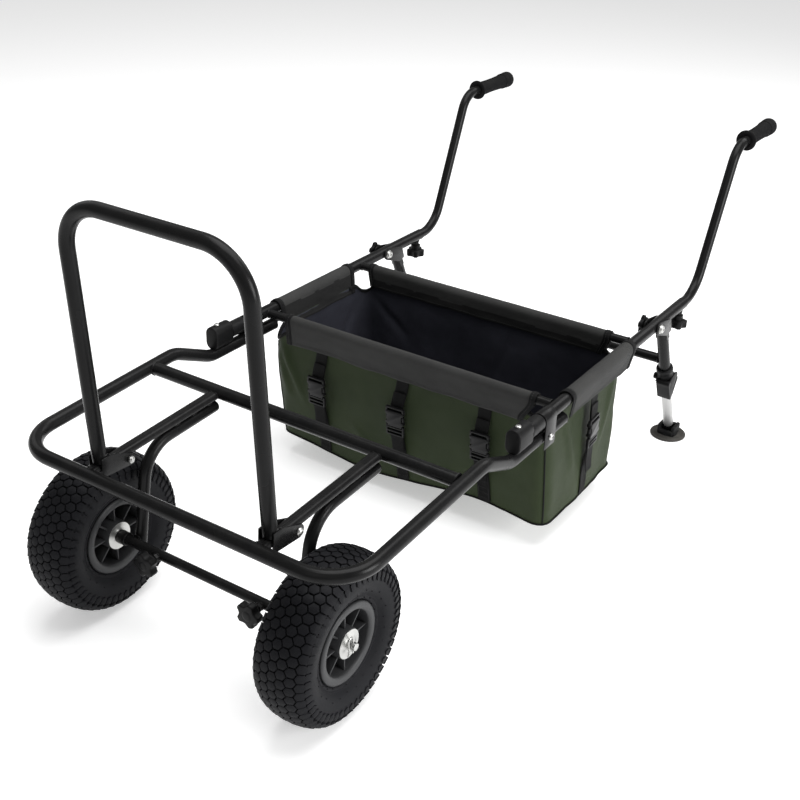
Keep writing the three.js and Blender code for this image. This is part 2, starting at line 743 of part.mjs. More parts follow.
// Tyre: an open section turned about the axle, with staggered blocks pressed into its tread
function tyreGeometry() {
  const crown = wheel.diameter / 2;
  const half = wheel.width / 2;
  const bead = hub.seat / 2 + 2 * gap;
  const beadHalf = hub.rimHalf - hub.flange - gap;
  const shoulderShare = 0.78;
  const edgeShare = 0.46;
  const linerShare = 0.8;
  const widestShare = 0.5;
  const widest = bead + (crown - bead) * widestShare;
  const rows = [
    [crown, 0, 0],
    [crown - tread.edgeDrop, half * edgeShare, 1],
    [crown - tread.shoulderDrop, half * shoulderShare, 2],
    [widest, half, 0],
    [bead + tread.depth, beadHalf, 0],
    [bead, beadHalf, 0],
    [bead, beadHalf - tread.depth, 0],
    [widest, half * linerShare, 0],
    [crown - tread.band, half * edgeShare, 0],
  ];
  const back = rows.slice(1).reverse().map(([radius, along, row]) => [radius, -along, row]);
  const section = [...rows, ...back];
  const around = tread.pitches * 3;
  const places = [];
  for (let i = 0; i < around; i += 1) {
    const angle = (2 * Math.PI * i) / around;
    for (const [radius, along, row] of section) {
      const grooved = (row === 1 && i % 3 === 0) || (row === 2 && (i + 1) % 3 === 0);
      const reach = radius - (grooved ? tread.depth : 0);
      places.push(along, reach * Math.cos(angle), reach * Math.sin(angle));
    }
  }
  const corners = [];
  const count = section.length;
  for (let i = 0; i < around; i += 1) {
    const next = (i + 1) % around;
    for (let j = 0; j < count; j += 1) {
      const beyond = (j + 1) % count;
      const [a, b] = [i * count + j, i * count + beyond];
      const [c, d] = [next * count + j, next * count + beyond];
      corners.push(a, b, d, a, d, c);
    }
  }
  const geometry = new THREE.BufferGeometry();
  geometry.setAttribute('position', new THREE.Float32BufferAttribute(places, 3));
  geometry.setIndex(corners);
  return geometry.rotateX(Math.PI).translate(wheelCentre.x, wheelCentre.y, wheelCentre.z);
}
pairOf('tyre', tyreGeometry(), 'tyreRubber');

// Hoop: stands on the deck bars between two cheeks a side, and folds back on the bolts behind it
const hoopRadius = hoop.diameter / 2;
const hoopFootHeight = noseHeightAt(hoop.footPlace) + deck.rise + deck.height / 2 + deck.ridge + gap
  + hoopRadius * nose.slope;
const hoopFoot = vector(deckOffset, hoop.footPlace, hoopFootHeight);
const hoopTop = vector(deckOffset - hoop.narrowing, hoop.topPlace, hoopTopHeight);
const opposite = (p) => vector(-p.x, p.y, p.z);
const hoopTube = bentTube(hoopRadius, hoopRadius - hoop.wall, 10,
  [hoopFoot, hoopTop, opposite(hoopTop), opposite(hoopFoot)], [hoop.bend, hoop.bend], [4, 4]);
const cheekInner = hoopRadius - gap;
const pivotRound = cheek.round;
const cheekOutline = [
  [cheek.front, cheekTop],
  [cheek.front, pivotHeight],
  ...arc([cheek.front + pivotRound, pivotHeight], pivotRound, 180, 270, 3),
  ...arc([hoop.pivotPlace, pivotHeight], pivotRound, 270, 405, 4),
  [hoop.footPlace + hoopRadius, cheekTop],
];
const cheekForm = (start) => cut(sidePlate(cheekOutline, start, cheek.thickness), hoopBoltHole);
const cheeks = [
  ...both(cheekForm(deckOffset + cheekInner)),
  ...both(cheekForm(deckOffset - cheekInner - cheek.thickness)),
];
const weldTop = cheekTop - cheek.thickness;
const weldBottom = hoopFootHeight + hoop.wall;
const welds = [-1, 1].flatMap((side) => both(box(2 * hoop.wall, hoopRadius, weldTop - weldBottom,
  vector(deckOffset + side * (cheekInner - hoop.wall / 2), hoop.footPlace, (weldTop + weldBottom) / 2))));
piece('hoop', join(hoopTube, ...welds, ...cheeks), 'powderCoat');

// A bolt along X: shank, dome head on the far end and a nut on the near end
function crossBolt(diameter, head, headHeight, from, to, place, height) {
  const shank = rod(diameter / 2, 10, vector(from - overrun, place, height),
    vector(to + overrun, place, height));
  const dome = domeHead(head / 2, headHeight, vector(to, place, height), across);
  const nut = rod(head / 2, 6, vector(from - headHeight, place, height), vector(from, place, height));
  return join(shank, dome, nut);
}
const hoopBoltForm = crossBolt(hoopBolt.diameter, hoopBolt.head, hoopBolt.headHeight,
  deckOffset - cheekInner - cheek.thickness - gap, deckOffset + cheekInner + cheek.thickness + gap,
  hoop.pivotPlace, pivotHeight);
pairOf('hoop_bolt', hoopBoltForm, 'zinc');

// Side rails with the holes that their screws and bolts need
const railBore = railRadius - rail.wall;
const railTube = straightTube(railRadius, railBore, 12,
  vector(rail.offset, rail.front, rail.height), vector(rail.offset, rail.rear, rail.height));
const standBoltHole = rod(standBolt.diameter / 2 + gap, 10,
  vector(rail.offset - rail.diameter, stand.pivotPlace, rail.height),
  vector(rail.offset + rail.diameter, stand.pivotPlace, rail.height));
const handleKnobHole = rod(handleKnob.stem / 2 + gap, 10,
  vector(rail.offset, handleKnob.place, rail.height - rail.diameter),
  vector(rail.offset, handleKnob.place, rail.height));
const handleNut = rod(handleKnob.nut / 2, 6,
  vector(rail.offset, handleKnob.place, rail.height - railRadius - handleKnob.nutHeight),
  vector(rail.offset, handleKnob.place, rail.height - railRadius + rail.wall));
const railForm = cut(join(railTube, cut(handleNut, rod(railBore, 12,
  vector(rail.offset, rail.front, rail.height), vector(rail.offset, rail.rear, rail.height)))),
standBoltHole, handleKnobHole);
pairOf('rail', railForm, 'powderCoat');

// Cross tubes that carry the bag
const railCutter = (side) => rod(railRadius + gap, 12,
  vector(side * rail.offset, rail.front, rail.height), vector(side * rail.offset, rail.rear, rail.height));
for (const [name, place] of [['bag_front_tube', bagTube.frontPlace], ['bag_rear_tube', bagTube.rearPlace]]) {
  const tube = straightTube(bagTube.diameter / 2, bagTube.diameter / 2 - bagTube.wall, 12,
    vector(-rail.offset, place, rail.height), vector(rail.offset, place, rail.height));
  piece(name, cut(tube, railCutter(1), railCutter(-1)), 'powderCoat');
}

// Moulded clamps: an oval cap over the front of each rail, a sleeve behind it and a screw on top
function ovalOutline(width, height) {
  const round = width / 2;
  const straight = height / 2 - round;
  return [
    ...arc([0, straight], round, 0, 180, 6),
    ...arc([0, -straight], round, 180, 360, 6),
  ];
}
const clampShape = new THREE.Shape(
  ovalOutline(clamp.width - 2 * clamp.round, clamp.height - 2 * clamp.round)
    .map(([x, y]) => new THREE.Vector2(x, y)),
);
const clampBlock = new THREE.ExtrudeGeometry(clampShape, {
  depth: clamp.rear - clamp.front - 2 * clamp.round,
  bevelThickness: clamp.round,
  bevelSize: clamp.round,
  bevelSegments: 1,
});
clampBlock.rotateX(-Math.PI / 2).translate(rail.offset, clamp.front + clamp.round, rail.height);
const clampSleeve = rod(railRadius + gap + clamp.sleeveWall, 12,
  vector(rail.offset, clamp.rear - clamp.round, rail.height),
  vector(rail.offset, clamp.sleeveEnd, rail.height));
const clampScrew = domeHead(clamp.screwHead / 2, clamp.screwHeight + clamp.round,
  vector(rail.offset, clamp.screwPlace, rail.height + clamp.height / 2 - clamp.round), vector(0, 0, 1));
const tailCutter = bentTube(clearRadius(noseRadius, cutterSides), 0, cutterSides,
  noseCorners.slice(0, 3), [nose.dipBend], [1]);
const clampForm = cut(join(clampBlock, clampSleeve, clampScrew),
  rod(railRadius + gap, 12, vector(rail.offset, rail.front - gap, rail.height),
    vector(rail.offset, clamp.sleeveEnd + overrun, rail.height)),
  tailCutter);
pairOf('rail_clamp', clampForm, 'blackPlastic');

// Sheet saddles that tie each rail to the nose tube's tail below it, with their bolts
const saddleInner = clearRadius(railRadius, 12);
const saddleOuter = saddleInner + strap.thickness;
const saddleOutline = [
  [saddleOuter, -strap.drop],
  ...arc([0, 0], saddleOuter, 0, 180, 6),
  [-saddleOuter, -strap.drop],
  [-saddleInner, -strap.drop],
  ...arc([0, 0], saddleInner, 180, 0, 6),
  [saddleInner, -strap.drop],
];
const saddleShape = new THREE.Shape(saddleOutline.map(([x, y]) => new THREE.Vector2(x, y)));
const saddle = new THREE.ExtrudeGeometry(saddleShape, {
  depth: strap.rear - strap.front,
  bevelEnabled: false,
});
saddle.rotateX(Math.PI / 2).translate(rail.offset, strap.rear, rail.height);
pairOf('rail_strap', cut(saddle, strapBoltHole), 'powderCoat');
const strapBoltForm = crossBolt(strapBolt.diameter, strapBolt.head, strapBolt.headHeight,
  rail.offset - saddleOuter - gap, rail.offset + saddleOuter + gap, strap.boltPlace, tailHeight);
pairOf('strap_bolt', strapBoltForm, 'zinc');

// Push handles: tubes that slide in the rails, with grips on their ends
const handleRadius = handle.diameter / 2;
const handleTube = bentTube(handleRadius, handleRadius - handle.wall, 12, [
  vector(rail.offset, handle.inner, rail.height),
  vector(rail.offset, handle.bottomPlace, rail.height),
  vector(handle.topOffset, handle.topPlace, handleTopHeight),
  vector(handle.topOffset, gripEnd - grip.endWall - gap, handleTopHeight),
], [handle.bottomBend, handle.topBend], [3, 3]);
pairOf('handle', handleTube, 'powderCoat');

const gripBore = clearRadius(handleRadius, 12);
const gripWaistShare = 0.93;
const gripBulgeShare = 1.12;
const [waistPlaceShare, fullPlaceShare, bulgePlaceShare, bulgeEndShare] = [0.4, 0.75, 0.9, 0.96];
const gripProfile = [
  [0, grip.length - grip.endWall],
  [gripBore, grip.length - grip.endWall],
  [gripBore, 0],
  [grip.flange / 2, 0],
  [grip.flange / 2, grip.flangeThickness],
  [grip.body / 2, grip.flangeThickness * 2],
  [(grip.body / 2) * gripWaistShare, grip.length * waistPlaceShare],
  [grip.body / 2, grip.length * fullPlaceShare],
  [(grip.body / 2) * gripBulgeShare, grip.length * bulgePlaceShare],
  [(grip.body / 2) * gripBulgeShare, grip.length * bulgeEndShare],
  [grip.body / 2, grip.length],
  [0, grip.length],
];
pairOf('grip', turned(gripProfile, 12, vector(handle.topOffset, gripFront, handleTopHeight),
  vector(0, 1, 0)), 'gripFoam');

const handleKnobTip = rail.height - handleRadius - gap;
const handleNutBottom = rail.height - railRadius - handleKnob.nutHeight;
const handleKnobForm = lobedKnob({
  diameter: handleKnob.diameter,
  height: handleKnob.height,
  stemRadius: handleKnob.stem / 2,
  stemLength: handleKnobTip - handleNutBottom + gap,
  neckLength: handleKnob.drop / 2,
}, vector(rail.offset, handleKnob.place, handleKnobTip), vector(0, 0, -1));
pairOf('handle_knob', handleKnobForm, 'blackPlastic');

// Stand: leg heads straddle the rails, and each leg hangs in its own tilted group
const standTilt = radiansOf(stand.tiltDegrees);
const standRadius = stand.diameter / 2;
const legGroup = new THREE.Group();
legGroup.position.set(0, stand.topPlace, rail.height);
legGroup.rotation.x = standTilt;
body.add(legGroup);
const alongLeg = (along) => vector(stand.offset, 0, -along);
const worldOfLeg = (reach, along) => [
  stand.topPlace + reach * Math.cos(standTilt) + along * Math.sin(standTilt),
  rail.height + reach * Math.sin(standTilt) - along * Math.cos(standTilt),
];

const headInner = railRadius + gap;
const headTopShare = 0.8;
const headTop = rail.height + railRadius * headTopShare;
const headWebTop = rail.height - railRadius - gap;
const headOutline = [
  ...arc([stand.pivotPlace, rail.height], standHead.pivotRound, 250, 90, 8),
  [standHead.rear - standHead.webLength / 2, headTop],
  [standHead.rear, headWebTop],
  worldOfLeg(standRadius, standHead.lowAlong),
  worldOfLeg(-standRadius, standHead.lowAlong),
];
const headPlate = (start) => sidePlate(headOutline, start, standHead.thickness);
const headWeb = box((headInner + overrun / 2) * 2, standHead.webLength, standHead.webThickness,
  vector(rail.offset, standHead.rear - standHead.webLength / 2 - overrun,
    headWebTop - standHead.webThickness / 2));
const legFace = standRadius * Math.cos(Math.PI / 12) + gap;
const headPads = [-1, 1].map((side) => {
  const reach = headInner + standHead.thickness / 2 - legFace;
  const pad = box(reach, standHead.padWidth, standHead.padLength,
    vector(stand.offset + side * (legFace + reach / 2), 0, standHead.padLength / 2 - standHead.lowAlong));
  return pad.rotateX(standTilt).translate(0, stand.topPlace, rail.height);
});
const headForm = cut(
  join(headPlate(rail.offset + headInner), headPlate(rail.offset - headInner - standHead.thickness), headWeb,
    ...headPads),
  standBoltHole,
);
pairOf('stand_head', headForm, 'powderCoat');

const standTubeForm = straightTube(standRadius, standRadius - stand.wall, 12,
  alongLeg(stand.headTop), alongLeg(stand.tubeEnd));
pairOf('stand_leg', standTubeForm, 'powderCoat', legGroup);
const legCutter = (side) => rod(standRadius + gap, 12,
  vector(side * stand.offset, 0, 0), vector(side * stand.offset, 0, -stand.tubeEnd));
const standCrossbar = straightTube(stand.crossbarDiameter / 2, stand.crossbarDiameter / 2 - stand.wall, 12,
  vector(-stand.offset, 0, -stand.crossbarAlong), vector(stand.offset, 0, -stand.crossbarAlong));
piece('stand_crossbar', cut(standCrossbar, legCutter(1), legCutter(-1)), 'powderCoat', legGroup);

// Pivot bolts of the stand, with a lock knob on each: both knobs sit on the same side
const headFace = headInner + standHead.thickness + gap;
const standBoltForm = (side) => join(
  rod(standBolt.diameter / 2, 10, vector(side * rail.offset - headFace, stand.pivotPlace, rail.height),
    vector(side * rail.offset + headFace + overrun, stand.pivotPlace, rail.height)),
  domeHead(standBolt.head / 2, standBolt.headHeight,
    vector(side * rail.offset + headFace, stand.pivotPlace, rail.height), across),
);
for (const [label, side] of [['right', 1], ['left', -1]]) {
  const knob = lobedKnob({
    diameter: standKnob.diameter,
    height: standKnob.height,
    stemRadius: standKnob.washer / 2,
    stemLength: standKnob.washerHeight,
    neckLength: standKnob.neck,
  }, vector(side * rail.offset - headFace - gap, stand.pivotPlace, rail.height), vector(-1, 0, 0));
  piece(`stand_bolt_${label}`, standBoltForm(side), 'zinc');
  piece(`stand_knob_${label}`, knob, 'blackPlastic');
}

// Cam locks: a moulded collar on the end of each leg, with a lever on a pin at its front
const camBore = clearRadius(standRadius, 12);
const camPassage = clearRadius(innerLeg.diameter / 2, 12);
const camProfile = [
  [camBore, -stand.tubeEnd - gap],
  [camBore, -cam.top],
  [cam.diameter / 2 - cam.chamfer, -cam.top],
  [cam.diameter / 2, -cam.top - cam.chamfer * 2],
  [cam.diameter / 2, -cam.lugBottom],
  [cam.waist / 2, -cam.lugBottom - cam.taper],
  [cam.waist / 2, -cam.bottom + cam.chamfer],
  [cam.waist / 2 - cam.chamfer, -cam.bottom],
  [camPassage, -cam.bottom],
  [camPassage, -stand.tubeEnd - gap],
  [camBore, -stand.tubeEnd - gap],
];
const camBody = turned(camProfile, 12, vector(stand.offset, 0, 0), vector(0, 0, 1));
const lugMiddle = (cam.lugTop + cam.lugBottom) / 2;
const camLug = box(cam.lugWidth, cam.lugReach - standRadius - overrun, cam.lugBottom - cam.lugTop,
  vector(stand.offset, -(cam.lugReach + standRadius + overrun) / 2, -lugMiddle));
const camSlotStart = cam.leverPivotReach - cam.slot / 2 - 2 * gap;
const camSlot = box(cam.slot, cam.lugReach, cam.lugBottom - cam.lugTop + overrun,
  vector(stand.offset, -camSlotStart - cam.lugReach / 2, -lugMiddle));
const camPinLine = (reach) => vector(stand.offset + reach, -cam.leverPivotReach, -cam.leverPivotAlong);
const camPin = rod(cam.pinDiameter / 2, 8, camPinLine(-cam.lugWidth / 2), camPinLine(cam.lugWidth / 2));
const camForm = join(cut(join(camBody, camLug), camSlot), camPin);
pairOf('cam_collar', camForm, 'blackPlastic', legGroup);

const leverPivot = [-cam.leverPivotReach, -cam.leverPivotAlong];
const leverEye = cam.slot / 2;
const leverShares = {
  bow: 0.9,
  bowLength: 0.4,
  tip: 0.5,
  tipBack: 0.4,
  bowBack: 0.2,
  blade: 0.55,
  bladeReach: 0.3,
};
const leverMiddle = -cam.leverPivotAlong - cam.leverLength * leverShares.bowLength;
const leverTip = -cam.leverPivotAlong - cam.leverLength;
const leverOutline = [
  ...arc(leverPivot, leverEye, 60, 240, 5),
  [-cam.leverPivotReach - cam.leverThickness * leverShares.bow, leverMiddle],
  [-cam.leverPivotReach - cam.leverThickness * leverShares.tip, leverTip],
  [-cam.leverPivotReach + cam.leverThickness * leverShares.tipBack, leverTip],
  [-cam.leverPivotReach + cam.leverThickness * leverShares.bowBack, leverMiddle],
];
const leverHub = sidePlate(leverOutline, stand.offset - cam.slot / 2 + gap, cam.slot - 2 * gap);
const bladeLength = cam.leverLength * leverShares.blade;
const leverBlade = box(cam.leverWidth, cam.leverThickness, bladeLength,
  vector(stand.offset, -cam.leverPivotReach - cam.leverThickness * leverShares.bladeReach,
    leverTip + bladeLength / 2));
const leverForm = cut(join(leverHub, leverBlade),
  rod(cam.pinDiameter / 2 + gap, 8, camPinLine(-cam.lugWidth), camPinLine(cam.lugWidth)));
pairOf('cam_lever', leverForm, 'blackPlastic', legGroup);

// Inner legs slide in the outer ones and end in swivelling rubber feet
const footReach = foot.pivotHeight;
const footAlong = (rail.height - footReach) / Math.cos(standTilt);
const innerLegEnd = footAlong - foot.neckLength;
const innerLegRadius = innerLeg.diameter / 2;
const innerLegTube = straightTube(innerLegRadius, innerLegRadius - innerLeg.wall, 12,
  alongLeg(innerLeg.top), alongLeg(innerLegEnd));
const knuckle = rod(foot.knuckle / 2, 12, vector(stand.offset - foot.knuckleWidth / 2, 0, -footAlong),
  vector(stand.offset + foot.knuckleWidth / 2, 0, -footAlong));
const legEndPlug = rod(innerLegRadius - innerLeg.wall / 2, 12, alongLeg(innerLegEnd - foot.neckLength),
  alongLeg(innerLegEnd));
const ankle = rod(foot.neck / 2, 10, alongLeg(innerLegEnd - foot.neck), alongLeg(footAlong));
pairOf('inner_leg', join(innerLegTube, legEndPlug, ankle, knuckle), 'brightTube', legGroup);

const footCentrePlace = stand.topPlace + footAlong * Math.sin(standTilt);
const footProfile = [
  [0, 0],
  [foot.diameter / 2, 0],
  [foot.diameter / 2, foot.thickness - foot.chamfer],
  [foot.diameter / 2 - foot.chamfer, foot.thickness],
  [foot.boss / 2, foot.thickness],
  [foot.boss / 2 - foot.chamfer, foot.bossHeight],
  [0, foot.bossHeight],
];
const footCentre = vector(stand.offset, footCentrePlace, 0);
const footBody = turned(footProfile, 18, footCentre, vector(0, 0, 1));
const socketWidth = foot.knuckleWidth + 2 * gap;
const socketAt = (side) => vector(stand.offset + (side * socketWidth) / 2, footCentrePlace, foot.pivotHeight);
const footSocket = rod(foot.knuckle / 2 + gap, 12, socketAt(-1), socketAt(1));
const socketMouth = box(socketWidth, foot.mouth, foot.bossHeight,
  vector(stand.offset, footCentrePlace, foot.pivotHeight + foot.bossHeight / 2));
pairOf('foot', cut(footBody, footSocket, socketMouth), 'softRubber');

// Bag: a tapered cloth box, open on top, with a sleeve round each of the four tubes
function bagPrism(inset, bottom, top) {
  const level = (z) => (z - bagBottom) / (bagTop - bagBottom);
  const at = (z) => {
    const share = level(z);
    return {
      half: THREE.MathUtils.lerp(bag.bottomHalfWidth, bag.topHalfWidth, share) - inset,
      front: THREE.MathUtils.lerp(bag.frontBottom, bagTube.frontPlace, share) + inset,
      rear: THREE.MathUtils.lerp(bag.rearBottom, bagTube.rearPlace, share) - inset,
    };
  };
  const turns = 3;
  const ring = (z) => {
    const { half, front, rear } = at(z);
    const round = bag.corner - inset;
    return [
      ...arc([half - round, rear - round], round, 0, 90, turns),
      ...arc([-half + round, rear - round], round, 90, 180, turns),
      ...arc([-half + round, front + round], round, 180, 270, turns),
      ...arc([half - round, front + round], round, 270, 360, turns),
    ].map(([x, y]) => [x, y, z]);
  };
  const levels = [ring(bottom), ring(top)];
  const count = levels[0].length;
  const corners = [];
  for (let j = 0; j < count; j += 1) {
    const next = (j + 1) % count;
    corners.push(j, next, count + next, j, count + next, count + j);
  }
  for (let j = 1; j < count - 1; j += 1) {
    corners.push(0, j + 1, j, count, count + j, count + j + 1);
  }
  const geometry = new THREE.BufferGeometry();
  geometry.setAttribute('position', new THREE.Float32BufferAttribute(levels.flat(2), 3));
  geometry.setIndex(corners);
  return geometry;
}
const bagShell = cut(bagPrism(0, bagBottom, bagTop),
  bagPrism(bag.wall, bagBottom + bag.wall, bagTop + overrun));

// Sleeves: cloth loops round the four tubes, each with a flap down to the bag's wall
const sleeveInner = (tubeDiameter) => tubeDiameter / 2 + bag.sleeveGap;
const sleeveLoop = (tubeDiameter, start, end) => straightTube(
  sleeveInner(tubeDiameter) + bag.sleeveWall, sleeveInner(tubeDiameter), 12, start, end);

function crossSleeve(place, inward, [from, to]) {
  const flapTop = rail.height - sleeveInner(bagTube.diameter) - bag.sleeveWall / 2;
  const flapHeight = flapTop - bagTop + bag.wall;
  const flap = box(to - from, bag.wall, flapHeight,
    vector((from + to) / 2, place + (inward * bag.wall) / 2, flapTop - flapHeight / 2));
  return [
    sleeveLoop(bagTube.diameter, vector(from, place, rail.height), vector(to, place, rail.height)),
    flap,
  ];
}

function sideSleeve([from, to]) {
  const flapWidth = rail.offset - sleeveInner(rail.diameter) - bag.sleeveWall / 2
    - bag.topHalfWidth + bag.wall;
  const flapHeight = rail.height - bagTop + bag.wall;
  const flap = box(flapWidth, to - from, flapHeight,
    vector(bag.topHalfWidth - bag.wall + flapWidth / 2, (from + to) / 2, rail.height - flapHeight / 2));
  return [
    sleeveLoop(rail.diameter, vector(rail.offset, from, rail.height), vector(rail.offset, to, rail.height)),
    flap,
  ];
}
const sleeves = [
  ...crossSleeve(bagTube.frontPlace, 1, bag.frontSleeve),
  ...crossSleeve(bagTube.rearPlace, -1, bag.rearSleeve),
  ...sideSleeve(bag.sideSleeve).flatMap(both),
];

// Straps sewn to the walls, three in front, three behind and one on each side, with a buckle on each
const wallLean = (top, bottom) => (top - bottom) / (bagTop - bagBottom);
const frontLean = wallLean(bagTube.frontPlace, bag.frontBottom);
const rearLean = wallLean(bagTube.rearPlace, bag.rearBottom);
const sideLean = wallLean(bag.topHalfWidth, bag.bottomHalfWidth);

// A plate against a wall: its height from bottom to top, laid flat on the wall's outer face
function againstWall(width, thickness, bottom, top, standOff) {
  const middle = (top + bottom) / 2 - bagBottom;
  return box(width, thickness, top - bottom, vector(0, -standOff - thickness / 2, middle));
}
const onFront = (offset) => (plate) => plate.rotateX(-Math.atan(frontLean))
  .translate(offset, bag.frontBottom, bagBottom);
const onRear = (offset) => (plate) => plate.rotateZ(Math.PI).rotateX(-Math.atan(rearLean))
  .translate(offset, bag.rearBottom, bagBottom);
const onRight = (place) => (plate) => plate.rotateZ(Math.PI / 2).rotateY(Math.atan(sideLean))
  .translate(bag.bottomHalfWidth, place, bagBottom);
const sideStrapPlace = (bag.sideSleeve[0] + bag.sideSleeve[1]) / 2;
const layings = [
  ...webbingOffsets.map((offset) => onFront(offset)),
  ...webbingOffsets.map((offset) => onRear(offset)),
];
const strapPlate = () => againstWall(webbing.width, webbing.thickness + bag.sleeveGap, webbingEnd,
  webbingTop, -bag.sleeveGap);
const bucklePlate = () => againstWall(buckle.width, buckle.thickness, buckleTop - buckle.length,
  buckleTop, 0);
const sidePlates = (plate) => both(onRight(sideStrapPlace)(plate));
const fittings = [strapPlate, bucklePlate].flatMap((plate) => [
  ...layings.map((lay) => lay(plate())),
  ...sidePlates(plate()),
]);
piece('bag', join(bagShell, ...sleeves, ...fittings), 'greenCloth');

export default trolley;
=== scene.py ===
# %% [markdown]
# # A fishing trolley
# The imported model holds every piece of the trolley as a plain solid, in metres: X runs across, +Y from
# the wheels to the push handles, and the ground is at zero. It is loaded first and never moved. Each
# lesson below then makes one piece or one finish, and the new piece stands in for the plain solid.

# %% Load the plain model
import bmesh
import bpy
import json
import math
import random
from mathutils import Matrix, Quaternion, Vector
from mathutils import noise as smooth_noise


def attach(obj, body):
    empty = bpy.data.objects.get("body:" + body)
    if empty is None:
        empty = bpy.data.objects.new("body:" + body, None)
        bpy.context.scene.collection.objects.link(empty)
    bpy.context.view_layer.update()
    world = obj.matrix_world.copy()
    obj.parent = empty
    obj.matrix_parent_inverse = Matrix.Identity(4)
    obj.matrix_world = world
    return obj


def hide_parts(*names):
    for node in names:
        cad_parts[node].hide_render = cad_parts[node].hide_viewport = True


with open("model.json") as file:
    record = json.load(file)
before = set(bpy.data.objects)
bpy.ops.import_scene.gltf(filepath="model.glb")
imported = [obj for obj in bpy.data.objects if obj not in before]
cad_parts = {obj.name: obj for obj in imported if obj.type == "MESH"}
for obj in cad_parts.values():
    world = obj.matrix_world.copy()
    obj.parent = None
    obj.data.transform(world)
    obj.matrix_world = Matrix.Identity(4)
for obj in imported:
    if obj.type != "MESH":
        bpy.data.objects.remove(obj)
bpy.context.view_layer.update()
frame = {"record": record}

# %% [markdown]
# Workshop drawings of tube frames are in millimetres, measured from one tube: here the middle of the
# nose's front bar. Blender works in metres from the trolley's own middle. One small function turns a
# drawing place into a Blender place, so every later number can be read off the drawing.

# %% Places
MM = 0.001
MIDDLE_PLACE = 700.1
ACROSS, ALONG, UP = Vector((1, 0, 0)), Vector((0, 1, 0)), Vector((0, 0, 1))
SIDES = (("right", 1), ("left", -1))
BODIES = frame["record"]["behaviour"]["bodies"]
BODY_OF = {node: body for body, nodes in BODIES.items() for node in nodes}


def at(x, y, z):
    """A place on the drawing, in metres."""
    return Vector((x, y - MIDDLE_PLACE, z)) * MM


# %% [markdown]
# The camera comes before any modelling, because every piece is compared with the photograph. Its place
# was worked out from the frame's right angles and the wheels' size: 33 degrees round from the nose,
# 28 degrees up, with a slight roll. The picture is square and 800 pixels wide.

# %% Camera
PICTURE = 800
FOCAL_PIXELS = 1203.81
SENSOR = 36.0
AZIMUTH, ELEVATION, ROLL = math.radians(32.98), math.radians(28.15), math.radians(1.96)
camera_data = bpy.data.cameras.new("camera")
camera_data.sensor_width = SENSOR
camera_data.lens = FOCAL_PIXELS / PICTURE * SENSOR
camera = bpy.data.objects.new("camera", camera_data)
bpy.context.scene.collection.objects.link(camera)
back = Vector((math.sin(AZIMUTH) * math.cos(ELEVATION), -math.cos(AZIMUTH) * math.cos(ELEVATION),
               math.sin(ELEVATION)))
level = Vector((math.cos(AZIMUTH), math.sin(AZIMUTH), 0))
upright = back.cross(level)
right = math.cos(ROLL) * level + math.sin(ROLL) * upright
up = -math.sin(ROLL) * level + math.cos(ROLL) * upright
turn = Matrix((right, up, back)).transposed()
camera.matrix_world = Matrix.Translation(at(1011.66, -980.85, 1210.77)) @ turn.to_4x4()
bpy.context.scene.camera = camera
print("camera lens", round(camera_data.lens, 2), "mm")

# %% [markdown]
# A product picture needs soft light: a large lamp on the right, another overhead, weaker ones in front,
# opposite and behind, and a pale world. The floor is matt white with a little glow of its own, so it
# stays white and still shows the shadow. Light Path tells the world which rays are the camera's: those
# see plain white, and the others get a weaker light.

# %% Floor, lamps and world
scene = bpy.context.scene
scene.view_settings.view_transform = "Standard"
FLOOR_SIZE = 12.0


def as_data(mesh, name):
    """Turns a bmesh into mesh data, and frees it."""
    data = bpy.data.meshes.new(name)
    mesh.to_mesh(data)
    mesh.free()
    return data


sheet = bmesh.new()
bmesh.ops.create_grid(sheet, x_segments=1, y_segments=1, size=FLOOR_SIZE / 2)
floor = bpy.data.objects.new("floor", as_data(sheet, "floor"))
scene.collection.objects.link(floor)


def new_material(name):
    """An empty node material and its node tree."""
    material = bpy.data.materials.new(name)
    material.use_nodes = True
    material.node_tree.nodes.clear()
    return material, material.node_tree


def new_node(tree, kind, **values):
    """A new shader node of a kind, with some of its inputs set."""
    node = tree.nodes.new("ShaderNode" + kind)
    for label, value in values.items():
        node.inputs[label.replace("_", " ")].default_value = value
    return node


def link_chain(tree, *pairs):
    """Joins sockets, given as (from node, output name, to node, input name)."""
    for source, output, target, entry in pairs:
        tree.links.new(source.outputs[output], target.inputs[entry])


floor_paint, tree = new_material("floor_paint")
paint = new_node(tree, "BsdfDiffuse", Color=(0.86, 0.86, 0.86, 1))
glow = new_node(tree, "Emission", Color=(1, 1, 1, 1), Strength=0.42)
both = new_node(tree, "AddShader")
output = new_node(tree, "OutputMaterial")
link_chain(tree, (paint, "BSDF", both, 0), (glow, "Emission", both, 1), (both, "Shader", output, "Surface"))
floor.data.materials.append(floor_paint)

world = bpy.data.worlds.new("studio")
scene.world = world
world.use_nodes = True
tree = world.node_tree
tree.nodes.clear()
path = new_node(tree, "LightPath")
strength = new_node(tree, "Mix", A=0.28, B=1.0)
sky = new_node(tree, "Background", Color=(1, 1, 1, 1))
output = new_node(tree, "OutputWorld")
link_chain(tree, (path, "Is Camera Ray", strength, "Factor"), (strength, "Result", sky, "Strength"),
           (sky, "Background", output, "Surface"))

